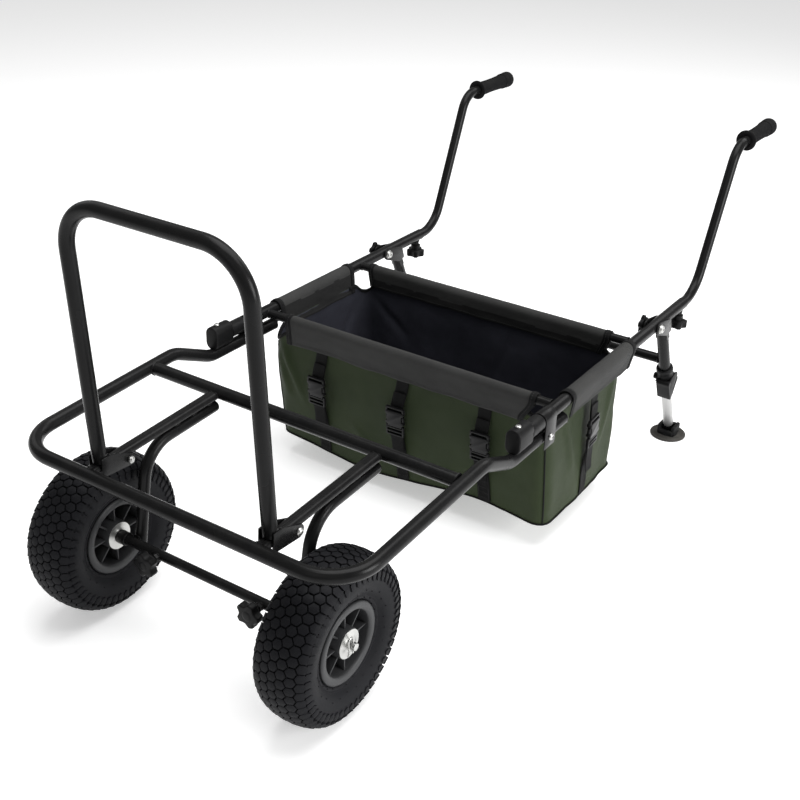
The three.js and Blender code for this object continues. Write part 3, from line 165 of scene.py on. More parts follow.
LAMPS = (("key_lamp", (3.2, 0.1, 1.2), 1.5, 88.0), ("top_lamp", (0.3, 0.2, 3.4), 3.0, 120.0),
         ("front_lamp", (0.3, -3.0, 2.4), 1.6, 4.0), ("fill_lamp", (-2.6, 0.2, 2.2), 1.8, 9.0),
         ("back_lamp", (0.6, 2.8, 2.4), 1.6, 18.0))
for name, place, size, power in LAMPS:
    lamp = bpy.data.lights.new(name, "AREA")
    lamp.size = size
    lamp.energy = power
    lamp_object = bpy.data.objects.new(name, lamp)
    lamp_object.location = place
    lamp_object.rotation_euler = (Vector((0, 0, 0.3)) - Vector(place)).to_track_quat("-Z", "Y").to_euler()
    scene.collection.objects.link(lamp_object)
print("lamps", len(LAMPS))

# %% [markdown]
# Several finishes share the same small effects. Each effect is a node group, built once, with named
# inputs: a fine grain for powder coat, rubber and moulded plastic, dust that settles on faces that look
# up, a weave for cloth, and edges lightened partly by wear and partly as a painted highlight. A group
# gives only values; the shader stays in the material.


# %% Node groups
def new_group(name, inputs, outputs):
    """A shader node group with value inputs and outputs; returns it with its input and output nodes."""
    group = bpy.data.node_groups.new(name, "ShaderNodeTree")
    for label, value in inputs:
        socket = group.interface.new_socket(label, in_out="INPUT", socket_type="NodeSocketFloat")
        socket.default_value = value
    for label in outputs:
        group.interface.new_socket(label, in_out="OUTPUT", socket_type="NodeSocketFloat")
    return group, group.nodes.new("NodeGroupInput"), group.nodes.new("NodeGroupOutput")


def feed(tree, entry, value):
    """Gives an input its value: a number or a colour is set, a socket is linked."""
    if isinstance(value, bpy.types.NodeSocket):
        tree.links.new(value, entry)
    else:
        entry.default_value = value


def maths(tree, operation, *values):
    """A Math node whose inputs are sockets or numbers; returns its output socket."""
    node = new_node(tree, "Math")
    node.operation = operation
    for entry, value in zip(node.inputs, values):
        feed(tree, entry, value)
    return node.outputs[0]


def noise(tree, vector, scale, detail=3.0, roughness=0.55):
    """A Noise Texture read at a vector; scale is a number or a socket."""
    node = new_node(tree, "TexNoise", Detail=detail, Roughness=roughness)
    tree.links.new(vector, node.inputs["Vector"])
    feed(tree, node.inputs["Scale"], scale)
    return node.outputs["Fac"]


def ramp(tree, value, low, high):
    """Value mapped so that low gives 0 and high gives 1, clamped."""
    node = new_node(tree, "MapRange", From_Min=low, From_Max=high)
    tree.links.new(value, node.inputs["Value"])
    return node.outputs["Result"]


grain_group, entry, leave = new_group("fine_grain", [("Scale", 900.0), ("Patch Scale", 9.0)],
                                      ["Height", "Patches"])
place = new_node(grain_group, "TexCoord").outputs["Object"]
grain_group.links.new(noise(grain_group, place, entry.outputs["Scale"], 2.0), leave.inputs["Height"])
patches = ramp(grain_group, noise(grain_group, place, entry.outputs["Patch Scale"], 4.0), 0.3, 0.72)
grain_group.links.new(patches, leave.inputs["Patches"])

dust_group, entry, leave = new_group("settled_dust", [("Amount", 0.3), ("Scale", 30.0)], ["Mask"])
place = new_node(dust_group, "TexCoord").outputs["Object"]
facing = new_node(dust_group, "NewGeometry")
parts = new_node(dust_group, "SeparateXYZ")
dust_group.links.new(facing.outputs["Normal"], parts.inputs["Vector"])
lying = ramp(dust_group, parts.outputs["Z"], 0.1, 1.0)
specks = ramp(dust_group, noise(dust_group, place, entry.outputs["Scale"], 5.0, 0.7), 0.42, 0.8)
dusty = maths(dust_group, "MULTIPLY", maths(dust_group, "MULTIPLY", lying, specks), entry.outputs["Amount"])
dust_group.links.new(dusty, leave.inputs["Mask"])

# Lightens sharp edges: partly wear, partly a painted highlight where an edge would catch the light.
wear_highlight_group, entry, leave = new_group("worn_highlit_edges", [("Amount", 0.5), ("Scale", 60.0)], ["Mask"])
place = new_node(wear_highlight_group, "TexCoord").outputs["Object"]
edge = ramp(wear_highlight_group, new_node(wear_highlight_group, "NewGeometry").outputs["Pointiness"], 0.57, 0.7)
broken = ramp(wear_highlight_group, noise(wear_highlight_group, place, entry.outputs["Scale"], 5.0, 0.65), 0.45, 0.7)
worn_and_lit = maths(wear_highlight_group, "MULTIPLY", maths(wear_highlight_group, "MULTIPLY", edge, broken), entry.outputs["Amount"])
wear_highlight_group.links.new(worn_and_lit, leave.inputs["Mask"])

# %% [markdown]
# Cloth is two sets of yarns that pass over and under each other. In the group, one wave runs across
# and one runs along the cloth's own UV map, which is laid out in metres, and a checker of the two says
# which yarn is on top. The height feeds a Bump node, and the same pattern lightens the yarns a little.

# %% Weave group
weave_group, entry, leave = new_group(
    "plain_weave", [("Yarns per metre", 1400.0), ("Slub", 0.25)], ["Height", "Tone"])
cloth_uv = new_node(weave_group, "UVMap")
cloth_uv.uv_map = "cloth"
parts = new_node(weave_group, "SeparateXYZ")
weave_group.links.new(cloth_uv.outputs["UV"], parts.inputs["Vector"])
turns = maths(weave_group, "MULTIPLY", entry.outputs["Yarns per metre"], math.pi)
warp = maths(weave_group, "SINE", maths(weave_group, "MULTIPLY", parts.outputs["X"], turns))
weft = maths(weave_group, "SINE", maths(weave_group, "MULTIPLY", parts.outputs["Y"], turns))
over = maths(weave_group, "MULTIPLY", warp, weft)
round_warp, round_weft = maths(weave_group, "ABSOLUTE", warp), maths(weave_group, "ABSOLUTE", weft)
lifted = maths(weave_group, "MAXIMUM",
               maths(weave_group, "MULTIPLY", round_warp, maths(weave_group, "ADD", over, 1.0)),
               maths(weave_group, "MULTIPLY", round_weft, maths(weave_group, "SUBTRACT", 1.0, over)))
weave_group.links.new(lifted, leave.inputs["Height"])
slub = noise(weave_group, cloth_uv.outputs["UV"], 260.0, 3.0)
tone = maths(weave_group, "ADD", maths(weave_group, "MULTIPLY", lifted, 0.3),
             maths(weave_group, "MULTIPLY", slub, entry.outputs["Slub"]))
weave_group.links.new(tone, leave.inputs["Tone"])
print("groups", len(bpy.data.node_groups))

# %% [markdown]
# The finishes. A dark part still needs tone: two near-black colours mix over wide patches, dust
# lightens what faces up, and edges are lightened, partly by wear and partly as a painted highlight.
# Roughness changes with the same masks, and a very fine bump breaks the reflection as powder coat,
# rubber and moulded plastic do.


# %% Finishes of the hard parts
def group_node(tree, group, **values):
    """A placed node group with its own values."""
    node = tree.nodes.new("ShaderNodeGroup")
    node.node_tree = group
    for label, value in values.items():
        node.inputs[label.replace("_", " ")].default_value = value
    return node


def mixed(tree, factor, first, second):
    """Two colours, or colour sockets, mixed by a factor socket."""
    node = new_node(tree, "Mix")
    node.data_type = "RGBA"
    tree.links.new(factor, node.inputs["Factor"])
    for entry, value in ((node.inputs[6], first), (node.inputs[7], second)):
        feed(tree, entry, (*value, 1) if isinstance(value, tuple) else value)
    return node.outputs[2]


def bumped(tree, height, strength, distance):
    """A Bump node on a height socket; returns its normal."""
    node = new_node(tree, "Bump", Strength=strength, Distance=distance)
    tree.links.new(height, node.inputs["Height"])
    return node.outputs["Normal"]


def principled(tree, **values):
    """A Principled BSDF joined to a material output, with its plain numbers set."""
    shader = new_node(tree, "BsdfPrincipled", **values)
    tree.links.new(shader.outputs["BSDF"], new_node(tree, "OutputMaterial").inputs["Surface"])
    return shader


def hard_finish(name, dark, light, dust, grain, roughness, edge_wear_highlight=0.0, edge_wear_highlight_colour=(0.25, 0.25, 0.25),
                bump=0.12, dust_colour=(0.2, 0.19, 0.17), **values):
    """A painted, moulded or rubber finish; grain is in grains per metre, roughness is (lowest, highest)."""
    material, tree = new_material(name)
    fine = group_node(tree, grain_group, Scale=grain)
    settled = group_node(tree, dust_group, Amount=dust)
    shader = principled(tree, **values)
    colour = mixed(tree, fine.outputs["Patches"], dark, light)
    colour = mixed(tree, settled.outputs["Mask"], colour, dust_colour)
    # The edge mask lightens edges: partly wear, partly a painted highlight.
    if edge_wear_highlight:
        edges = group_node(tree, wear_highlight_group, Amount=edge_wear_highlight)
        colour = mixed(tree, edges.outputs["Mask"], colour, edge_wear_highlight_colour)
    rough = new_node(tree, "MapRange", To_Min=roughness[0], To_Max=roughness[1])
    link_chain(tree, (fine, "Patches", rough, "Value"), (rough, "Result", shader, "Roughness"))
    tree.links.new(colour, shader.inputs["Base Color"])
    tree.links.new(bumped(tree, fine.outputs["Height"], bump, 0.0004), shader.inputs["Normal"])
    return material


powder_coat = hard_finish("powder_coat", (0.0056, 0.0056, 0.0058), (0.0086, 0.0086, 0.0088), 0.03, 1500,
                          (0.22, 0.3), 0.2, (0.04, 0.04, 0.04), 0.14, Specular_IOR_Level=0.12)
zinc = hard_finish("zinc", (0.42, 0.42, 0.41), (0.6, 0.6, 0.58), 0.15, 1200, (0.28, 0.42), Metallic=1.0)
bright_tube = hard_finish("bright_tube", (0.4, 0.4, 0.4), (0.48, 0.48, 0.475), 0.1, 700, (0.36, 0.48),
                          Metallic=1.0)
tyre_rubber = hard_finish("tyre_rubber", (0.0068, 0.0069, 0.0082), (0.011, 0.0112, 0.013), 0.06, 1100,
                          (0.5, 0.66), bump=0.3, dust_colour=(0.05, 0.049, 0.048), Specular_IOR_Level=0.09)
soft_rubber = hard_finish("soft_rubber", (0.006, 0.006, 0.0064), (0.01, 0.01, 0.0105), 0.1, 1300, (0.6, 0.75),
                          bump=0.25, Specular_IOR_Level=0.12)
pad_rubber = hard_finish("pad_rubber", (0.034, 0.032, 0.0295), (0.056, 0.053, 0.049), 0.2, 900, (0.65, 0.8),
                         bump=0.3, Specular_IOR_Level=0.15)
black_plastic = hard_finish("black_plastic", (0.005, 0.005, 0.0053), (0.008, 0.008, 0.0083), 0.03, 1700,
                            (0.36, 0.48), 0.25, (0.03, 0.03, 0.03), 0.14, Specular_IOR_Level=0.11)
# On the hub, the edge mask is a painted highlight along the rib edges, where they would catch the light.
hub_plastic = hard_finish("hub_plastic", (0.025, 0.0256, 0.027), (0.036, 0.0367, 0.0385), 0.06, 1500,
                          (0.36, 0.48), 0.3, (0.08, 0.08, 0.08), Specular_IOR_Level=0.25)
grip_foam = hard_finish("grip_foam", (0.0055, 0.0055, 0.006), (0.009, 0.009, 0.0095), 0.05, 2600,
                        (0.7, 0.85), bump=0.6, Specular_IOR_Level=0.08)
buckle_plastic = hard_finish("buckle_plastic", (0.0055, 0.0055, 0.006), (0.0085, 0.0085, 0.009), 0.03, 2000,
                             (0.26, 0.36), 0.3, (0.05, 0.05, 0.05), 0.08, Specular_IOR_Level=0.16)

# %% [markdown]
# The cloths. The bag is a coated polyester with a faint sheen, green outside and almost black inside.
# Its sleeves are a heavier dark grey cloth whose inside band is painted darker as painted shade; the
# tapes and straps are ribbed and black. All are the same recipe with other yarns and colours.


# %% Finishes of the cloths
def cloth_finish(name, dark, light, yarns, roughness, bump, dust, sheen):
    """A woven finish on the piece's own UV map in metres."""
    material, tree = new_material(name)
    weave = group_node(tree, weave_group, Yarns_per_metre=yarns)
    fine = group_node(tree, grain_group, Patch_Scale=7.0)
    settled = group_node(tree, dust_group, Amount=dust, Scale=12.0)
    shader = principled(tree, Sheen_Weight=sheen, Sheen_Roughness=0.5, Specular_IOR_Level=0.1,
                        Roughness=roughness)
    tone = maths(tree, "MULTIPLY_ADD", fine.outputs["Patches"], 0.5,
                 maths(tree, "MULTIPLY", weave.outputs["Tone"], 0.6))
    colour = mixed(tree, tone, dark, light)
    colour = mixed(tree, settled.outputs["Mask"], colour, (0.16, 0.155, 0.13))
    tree.links.new(colour, shader.inputs["Base Color"])
    tree.links.new(bumped(tree, weave.outputs["Height"], bump, 0.0004), shader.inputs["Normal"])
    return material


green_cloth = cloth_finish("green_cloth", (0.0125, 0.0202, 0.0075), (0.031, 0.0425, 0.018), 1500, 0.55,
                           0.35, 0.02, 0.02)
lining_cloth = cloth_finish("lining_cloth", (0.018, 0.0186, 0.0245), (0.038, 0.0392, 0.051), 1900, 0.45,
                            0.2, 0.02, 0.02)
sleeve_cloth = cloth_finish("sleeve_cloth", (0.021, 0.0213, 0.021), (0.044, 0.044, 0.0432), 1100, 0.7,
                            0.5, 0.05, 0.04)
# The band inside the sleeves is painted darker than the sleeve cloth: painted shade inside the bag.
band_painted_shade = cloth_finish("band_painted_shade", (0.0085, 0.0085, 0.0088), (0.018, 0.0178, 0.0175), 1300, 0.7,
                          0.5, 0.03, 0.02)
binding_cloth = cloth_finish("binding_cloth", (0.003, 0.003, 0.0034), (0.0065, 0.0065, 0.007), 900, 0.65,
                             0.5, 0.02, 0.02)
strap_webbing = cloth_finish("strap_webbing", (0.0012, 0.0012, 0.0013), (0.0036, 0.0036, 0.0038), 700, 0.6,
                             0.8, 0.0, 0.0)
print("materials", len(bpy.data.materials))

# %% [markdown]
# Every piece ends the same way: its mesh is given materials, shaded smooth up to a crease angle, and
# told which moving body it rides on and which plain solid it stands in for. One function does this,
# and it prints the size, which is a quick test that nothing flew away. The small ones after it save
# writing the same operator calls again and again.


# %% The end of every piece
def dressed(name, mesh, materials, nodes=(), body=None, crease=38.0):
    """Turns a bmesh into a finished piece that rides on a body and replaces CAD nodes."""
    data = as_data(mesh, name)
    for material in materials if isinstance(materials, list) else [materials]:
        data.materials.append(material)
    data.shade_smooth()
    data.set_sharp_from_angle(angle=math.radians(crease))
    piece = bpy.data.objects.new(name, data)
    scene.collection.objects.link(piece)
    first = nodes[0] if nodes else None
    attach(piece, body or BODY_OF[first])
    if nodes:
        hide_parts(*nodes)
    size = piece.dimensions
    print(f"{name}: {len(data.polygons)} faces, {size.x:.3f} x {size.y:.3f} x {size.z:.3f} m")
    return piece


def verts_in(items):
    """The vertices among what an operator returned."""
    return [item for item in items if isinstance(item, bmesh.types.BMVert)]


def edges_at(verts):
    """The edges that touch some vertices."""
    return list({edge for vert in verts for edge in vert.link_edges})


def circle(mesh, sides, radius, matrix, filled=False):
    """The vertices of a new circle, its radius in millimetres."""
    return bmesh.ops.create_circle(mesh, segments=sides, radius=radius * MM, matrix=matrix,
                                   cap_ends=filled)["verts"]


def softened(mesh, edges, width, segments=2):
    """Rounds some edges over a width in metres; returns the new faces."""
    return bmesh.ops.bevel(mesh, geom=edges, offset=width, segments=segments, profile=0.5, affect="EDGES",
                           material=-1)["faces"]


def axes(x, y, z):
    """The turn whose three axes are given directions."""
    return Matrix((x, y, z)).transposed().to_4x4()


def mirrored(mesh):
    """A copy of a bmesh turned to the trolley's other side."""
    other = mesh.copy()
    bmesh.ops.scale(other, vec=Vector((-1, 1, 1)), verts=other.verts)
    bmesh.ops.reverse_faces(other, faces=other.faces)
    return other


def built(build, *values):
    """A new bmesh with what a build function adds to it."""
    mesh = bmesh.new()
    build(mesh, *values)
    return mesh


def pair(name, build, materials, crease=38.0):
    """Makes a piece for the right side and its mirror image for the left; build adds the right one."""
    mesh = built(build)
    for label, own in (("right", mesh), ("left", mirrored(mesh))):
        dressed(f"fine_{name}_{label}", own, materials, [f"{name}_{label}"], crease=crease)


# %% [markdown]
# A tube frame is nearly all bent tube, so one good tube function earns its keep. A route is a list of
# corners with a bend radius at each: the function turns it into stations along the middle line. Then a
# circle is extruded from station to station, turned a little at each so it never twists.


# %% Tubes along a route
def stations(corners, bends, step_degrees=6.0):
    """Points and directions along straight runs joined by round bends; places on the drawing."""
    points = [at(*corner) for corner in corners]
    ways = [(b - a).normalized() for a, b in zip(points, points[1:])]
    route = [(points[0], ways[0])]
    for corner, before, after, bend in zip(points[1:-1], ways, ways[1:], bends):
        angle = before.angle(after)
        if angle < 1e-4:
            continue
        axis = before.cross(after).normalized()
        inward = axis.cross(before)
        radius = bend * MM
        centre = corner - before * radius * math.tan(angle / 2) + inward * radius
        steps = max(2, math.ceil(math.degrees(angle) / step_degrees))
        for k in range(steps + 1):
            part = Quaternion(axis, angle * k / steps)
            route.append((centre + part @ (-inward * radius), part @ before))
    route.append((points[-1], ways[-1]))
    return route


def spot(x, y, z):
    """A matrix that moves to a place given in millimetres from a form's own middle."""
    return Matrix.Translation(Vector((x, y, z)) * MM)


def frame_at(point, way):
    """A matrix at a point whose Z is the way."""
    return Matrix.Translation(point) @ UP.rotation_difference(way).to_matrix().to_4x4()


def swept(mesh, route, edges):
    """Extrudes a loop, placed at the route's first station, along the route; returns the last loop."""
    for (p, way), (q, following) in zip(route, route[1:]):
        out = bmesh.ops.extrude_edge_only(mesh, edges=edges)["geom"]
        verts = verts_in(out)
        edges = [item for item in out if isinstance(item, bmesh.types.BMEdge)]
        turn = way.rotation_difference(following).to_matrix().to_4x4()
        bmesh.ops.transform(mesh, matrix=Matrix.Translation(q) @ turn @ Matrix.Translation(-p), verts=verts)
    return edges


def capped(mesh, edges, way, rise, inset=0.8):
    """Closes a loop with a face that is inset and lifted into a low crown."""
    face = bmesh.ops.contextual_create(mesh, geom=edges)["faces"][0]
    face.normal_update()
    if face.normal.dot(way) < 0:
        face.normal_flip()
    for share in (0.35, 0.65):
        bmesh.ops.inset_region(mesh, faces=[face], thickness=inset * MM * share, depth=0)
        bmesh.ops.translate(mesh, vec=way * rise * MM * share, verts=face.verts)


def tube(mesh, corners, bends, diameter, ends=(0.0, 0.0), sides=28, step_degrees=6.0):
    """Adds a closed tube; ends are the rises of its two crowned caps."""
    route = stations(corners, bends, step_degrees)
    loop = edges_at(circle(mesh, sides, diameter / 2, frame_at(*route[0])))
    last = swept(mesh, route, loop)
    capped(mesh, loop, -route[0][1], ends[0])
    capped(mesh, last, route[-1][1], ends[1])


def cross(mesh, half, place, level, diameter):
    """Adds a straight tube along X, from one side to the other, at a place and a level."""
    tube(mesh, [(-half, place, level), (half, place, level)], [], diameter)


def turned(mesh, profile, place, axis, sides=32):
    """Spins a profile of (radius, distance along) in millimetres about an axis through a place."""
    matrix = frame_at(place, axis)
    line = [mesh.verts.new(matrix @ (Vector((radius, 0, along)) * MM)) for radius, along in profile]
    edges = [mesh.edges.new(pairing) for pairing in zip(line, line[1:])]
    before = set(mesh.verts) - set(line)
    bmesh.ops.spin(mesh, geom=[*line, *edges], cent=place, axis=axis, angle=math.tau, steps=sides,
                   use_merge=True)
    fresh = [vert for vert in mesh.verts if vert not in before]
    bmesh.ops.remove_doubles(mesh, verts=fresh, dist=1e-6)
    fresh = {vert for vert in mesh.verts if vert not in before}
    bmesh.ops.recalc_face_normals(mesh, faces=[face for face in mesh.faces if face.verts[0] in fresh])


def plate(mesh, outline, thickness, matrix, bevel=0.0, segments=2):
    """A flat outline in millimetres, given a thickness about its middle and softened edges."""
    verts = [mesh.verts.new(matrix @ (Vector((x, y, -thickness / 2)) * MM)) for x, y in outline]
    face = mesh.faces.new(verts)
    top = verts_in(bmesh.ops.extrude_face_region(mesh, geom=[face])["geom"])
    bmesh.ops.translate(mesh, vec=matrix.to_3x3() @ UP * thickness * MM, verts=top)
    faces = list({f for vert in [*verts, *top] for f in vert.link_faces})
    bmesh.ops.recalc_face_normals(mesh, faces=faces)
    if bevel:
        edges = {edge for f in faces for edge in f.edges}
        rims = [edge for edge in edges if edge.calc_face_angle(0) > math.radians(35)]
        softened(mesh, rims, bevel * MM, segments)


def block(mesh, size, matrix, bevel=0.8, segments=2):
    """A box of a size in millimetres with softened edges."""
    cube = bmesh.ops.create_cube(mesh, size=1.0, matrix=Matrix.Diagonal((*(Vector(size) * MM), 1)))["verts"]
    faces = softened(mesh, edges_at(cube), bevel * MM, segments)
    bmesh.ops.transform(mesh, matrix=matrix, verts=list({vert for face in faces for vert in face.verts}))


def arc(centre, radius, first, last, steps):
    """Points of an arc in a flat outline, from first to last degrees."""
    angles = [math.radians(first + (last - first) * k / steps) for k in range(steps + 1)]
    return [(centre[0] + radius * math.cos(a), centre[1] + radius * math.sin(a)) for a in angles]


def side_on(x):
    """A matrix that stands a flat outline upright: its first number runs along Y and its second up."""
    return Matrix.Translation(at(x, 0, 0)) @ axes(ALONG, UP, ACROSS)


def hexagon(radius):
    """The outline of a nut."""
    return arc((0, 0), radius, 0, 300, 5)


def bead(mesh, centre, axis, radius, thickness, around=28, across=8, seed=1):
    """A weld bead: a ring whose thickness ripples as the welder moved."""
    rng = random.Random(seed)
    turn = UP.rotation_difference(axis).to_matrix().to_4x4()
    loops = []
    for i in range(around):
        angle = math.tau * i / around
        own = thickness * (0.85 + 0.3 * rng.random())
        out = Vector((math.cos(angle), math.sin(angle), 0))
        spin = Matrix.Rotation(angle, 4, "Z") @ Matrix.Rotation(math.pi / 2, 4, "X")
        matrix = Matrix.Translation(centre) @ turn @ (Matrix.Translation(out * radius * MM) @ spin)
        loops.append(edges_at(circle(mesh, across, own / 2, matrix)))
    for here, there in zip(loops, loops[1:] + loops[:1]):
        bmesh.ops.bridge_loops(mesh, edges=here + there)


# %% [markdown]
# Small helpers walk along a line of flat points by distance. The tyre's crown, the sections of the
# sleeves and the border of the bag are all such lines.


# %% Lines of flat points
def walk_along(points, distance):
    """The point at a distance along a line of flat points."""
    for (ax, ay), (bx, by) in zip(points, points[1:]):
        step = math.hypot(bx - ax, by - ay)
        if distance <= step and step:
            share = distance / step
            return ax + (bx - ax) * share, ay + (by - ay) * share
        distance -= step
    return points[-1]


def off_line(points, distance, out):
    """The point at a distance along a line, moved off it to its right-hand side."""
    ax, ay = walk_along(points, max(distance - 0.6, 0))
    bx, by = walk_along(points, distance + 0.6)
    step = math.hypot(bx - ax, by - ay)
    x, y = walk_along(points, distance)
    return x + (by - ay) / step * out, y - (bx - ax) / step * out


def line_length(points):
    """The length of a line of flat points."""
    return sum(math.dist(a, b) for a, b in zip(points, points[1:]))


# %% [markdown]
# ## The nose frame
# The real one is a single tube in a U, whose ends dip so that they pass under the side rails. It is
# swept along its route; the open ends are closed by crowned plugs, each with a shoulder.

# %% Nose tube, crossbar and their welds
NOSE = {"diameter": 22, "offset": 303, "height": 292, "slope": 0.05, "bend": 70, "dip_bend": 60,
        "dip": (340, 425), "tail": 600, "tail_height": 272, "crossbar": 285}
RAIL = {"offset": 300.5, "height": 303, "diameter": 22, "wall": 1.2, "front": 436, "rear": 1098, "knob": 1082}
STAND_PIVOT = (957, 303)


def nose_height(place):
    """The height of the sloping nose frame at a place along it."""
    return NOSE["height"] + NOSE["slope"] * place


def on_rail(place, rise=0.0):
    """A place on the right rail's middle line, or a rise above it."""
    return at(RAIL["offset"], place, RAIL["height"] + rise)


side_corners = [(RAIL["offset"], NOSE["tail"], NOSE["tail_height"]),
                (RAIL["offset"], NOSE["dip"][1], NOSE["tail_height"]),
                (NOSE["offset"], NOSE["dip"][0], nose_height(NOSE["dip"][0])),
                (NOSE["offset"], 0, NOSE["height"])]
nose_corners = side_corners + [(-x, y, z) for x, y, z in reversed(side_corners)]
nose_bends = [NOSE["dip_bend"]] * 2 + [NOSE["bend"]] * 2 + [NOSE["dip_bend"]] * 2
nose = bmesh.new()
tube(nose, nose_corners, nose_bends, NOSE["diameter"], sides=36, step_degrees=5)
PLUG = [(0, 3), (5.5, 2.9), (8.5, 2.2), (10.2, 1), (11.2, 0), (11.3, -0.8), (11.2, -1.2), (10.4, -1.4)]
for _, side in SIDES:
    turned(nose, PLUG, at(side * RAIL["offset"], NOSE["tail"], NOSE["tail_height"]), ALONG)
dressed("fine_nose_tube", nose, powder_coat, ["nose_tube"])

crossbar_line = (NOSE["crossbar"], nose_height(NOSE["crossbar"]))
crossbar = bmesh.new()
cross(crossbar, NOSE["offset"] - 9.5, *crossbar_line, NOSE["diameter"])
for _, side in SIDES:
    bead(crossbar, at(side * (NOSE["offset"] - 11.2), *crossbar_line), ACROSS, 10.8, 3.2, seed=3)
dressed("fine_nose_crossbar", crossbar, powder_coat, ["nose_crossbar"])

# %% [markdown]
# ## The deck bars
# Two flat-oval tubes with shallow ribs rolled into their tops carry the load. The section is drawn as a
# loop and extruded once; a lug under each takes the hoop's pivot bolt.

# %% Deck bars
DECK = {"offset": 158, "width": 20.8, "height": 13.2, "rise": -1, "top": 5.5, "trim": 10.6}
RIB = [(-1.6, 0), (-0.8, 0.25), (0, 0.35), (0.8, 0.25), (1.6, 0)]
HOOP_PIVOT = (76, 286)


def deck_section():
    """The ribbed flat-oval outline of a deck bar: across and up, in millimetres."""
    flat = (DECK["width"] - DECK["height"]) / 2
    round_half = DECK["height"] / 2
    outline = arc((-flat, 0), round_half, 270, 90, 10)
    for middle in (-0.5 * flat, 0.5 * flat):
        outline += [(middle + x, round_half + rise) for x, rise in RIB]
    return outline + arc((flat, 0), round_half, 90, -90, 10)


def deck_bar(mesh):
    loops = []
    for y in (DECK["trim"], NOSE["crossbar"] - DECK["trim"]):
        middle = nose_height(y) + DECK["rise"] + DECK["top"] - DECK["height"] / 2
        ring = [mesh.verts.new(at(DECK["offset"] + x, y - z * NOSE["slope"], middle + z))
                for x, z in deck_section()]
        loops.append([mesh.edges.new((a, b)) for a, b in zip(ring, ring[1:] + ring[:1])])
    bmesh.ops.bridge_loops(mesh, edges=loops[0] + loops[1])
    for loop in loops:
        bmesh.ops.contextual_create(mesh, geom=loop)
    bmesh.ops.recalc_face_normals(mesh, faces=mesh.faces)
    front, rear, low = HOOP_PIVOT[0] - 10, HOOP_PIVOT[0] + 10, HOOP_PIVOT[1]
    lug_top = nose_height(HOOP_PIVOT[0]) + DECK["rise"] - 2
    lug = [(front, lug_top), (front, low), *arc(HOOP_PIVOT, 8.2, 200, 340, 10), (rear, low), (rear, lug_top)]
    plate(mesh, lug, 20.6, side_on(DECK["offset"]), bevel=0.8)
    for y, seed in ((11.5, 5), (NOSE["crossbar"] - 11.5, 6)):
        for x in (-4.8, 4.8):
            place = at(DECK["offset"] + x, y, nose_height(y) + DECK["rise"])
            bead(mesh, place, ALONG, 5.2, 2.6, 20, 6, seed)


pair("deck_bar", deck_bar, powder_coat)

# %% [markdown]
# ## The wheel legs and the axle tube
# Each leg is a thinner tube that hangs on three short pads under its deck bar and bends down to the
# axle tube, where it is welded. The axle tube is short: the stub axles slide out of it.

# %% Wheel legs and axle tube
AXLE = {"place": 80, "height": 130, "diameter": 16, "half": 167, "knob": 101}
LEG = {"diameter": 19, "drop": 21.7, "rear": 276, "bend": 60, "tilt": math.radians(9.5), "bottom": 122,
       "pads": (190, 228, 264), "pad": (8, 12, 6.4)}
LEG_LINE_PLACE = AXLE["place"] + 0.3 + (AXLE["diameter"] + LEG["diameter"]) / 2 / math.cos(LEG["tilt"])


def leg_top(place):
    """The height of a wheel leg's upper run at a place."""
    return nose_height(place) - LEG["drop"]


def leg_place(height):
    """Where a wheel leg's lower run is at a height."""
    return LEG_LINE_PLACE + (height - AXLE["height"]) * math.tan(LEG["tilt"])


def wheel_leg(mesh):
    slant = math.tan(LEG["tilt"])
    corner = (LEG_LINE_PLACE + (leg_top(0) - AXLE["height"]) * slant) / (1 - NOSE["slope"] * slant)
    x = DECK["offset"]
    line = [(x, LEG["rear"], leg_top(LEG["rear"])), (x, corner, leg_top(corner)),
            (x, leg_place(LEG["bottom"]), LEG["bottom"])]
    tube(mesh, line, [LEG["bend"]], LEG["diameter"], (2.2, 1.0))
    for y in LEG["pads"]:
        middle = nose_height(y) + DECK["rise"] + DECK["top"] - DECK["height"] - 0.3 - LEG["pad"][2] / 2
        block(mesh, LEG["pad"],
              Matrix.Translation(at(x, y, middle)) @ Matrix.Rotation(NOSE["slope"], 4, "X"), 1.2)
    bead(mesh, at(x, leg_place(AXLE["height"] - 2) - 8.6, AXLE["height"]), ALONG, 6.4, 3.0, 22, 6, 8)


pair("wheel_leg", wheel_leg, powder_coat)

axle_tube = bmesh.new()
axle_line = (AXLE["place"], AXLE["height"])
cross(axle_tube, AXLE["half"], *axle_line, AXLE["diameter"])
for _, side in SIDES:
    turned(axle_tube, [(6.6, -1.5), (7.7, -1.2), (8.15, -0.4), (8.15, 0.2), (6.9, 0.4), (6.6, -1.5)],
           at(side * AXLE["half"], *axle_line), ACROSS * side)
    knob_place = at(side * AXLE["knob"], *axle_line)
    nut = circle(axle_tube, 6, 7, frame_at(knob_place - ALONG * 7 * MM, -ALONG), True)
    top = verts_in(bmesh.ops.extrude_face_region(axle_tube, geom=[nut[0].link_faces[0]])["geom"])
    bmesh.ops.translate(axle_tube, vec=-ALONG * 6.6 * MM, verts=top)
    bead(axle_tube, knob_place - ALONG * 7.4 * MM, ALONG, 6.2, 2.4, 24, 6, 9)
dressed("fine_axle_tube", axle_tube, powder_coat, ["axle_tube"])

# %% [markdown]
# ## Stub axles and R pins
# A stub axle is turned steel: its collar stops the hub on one side and an R pin stops it on the other.
# The R pin is one bent wire.


# %% Stub axles and R pins
COLLAR_END, PIN_PLACE = 190, 260


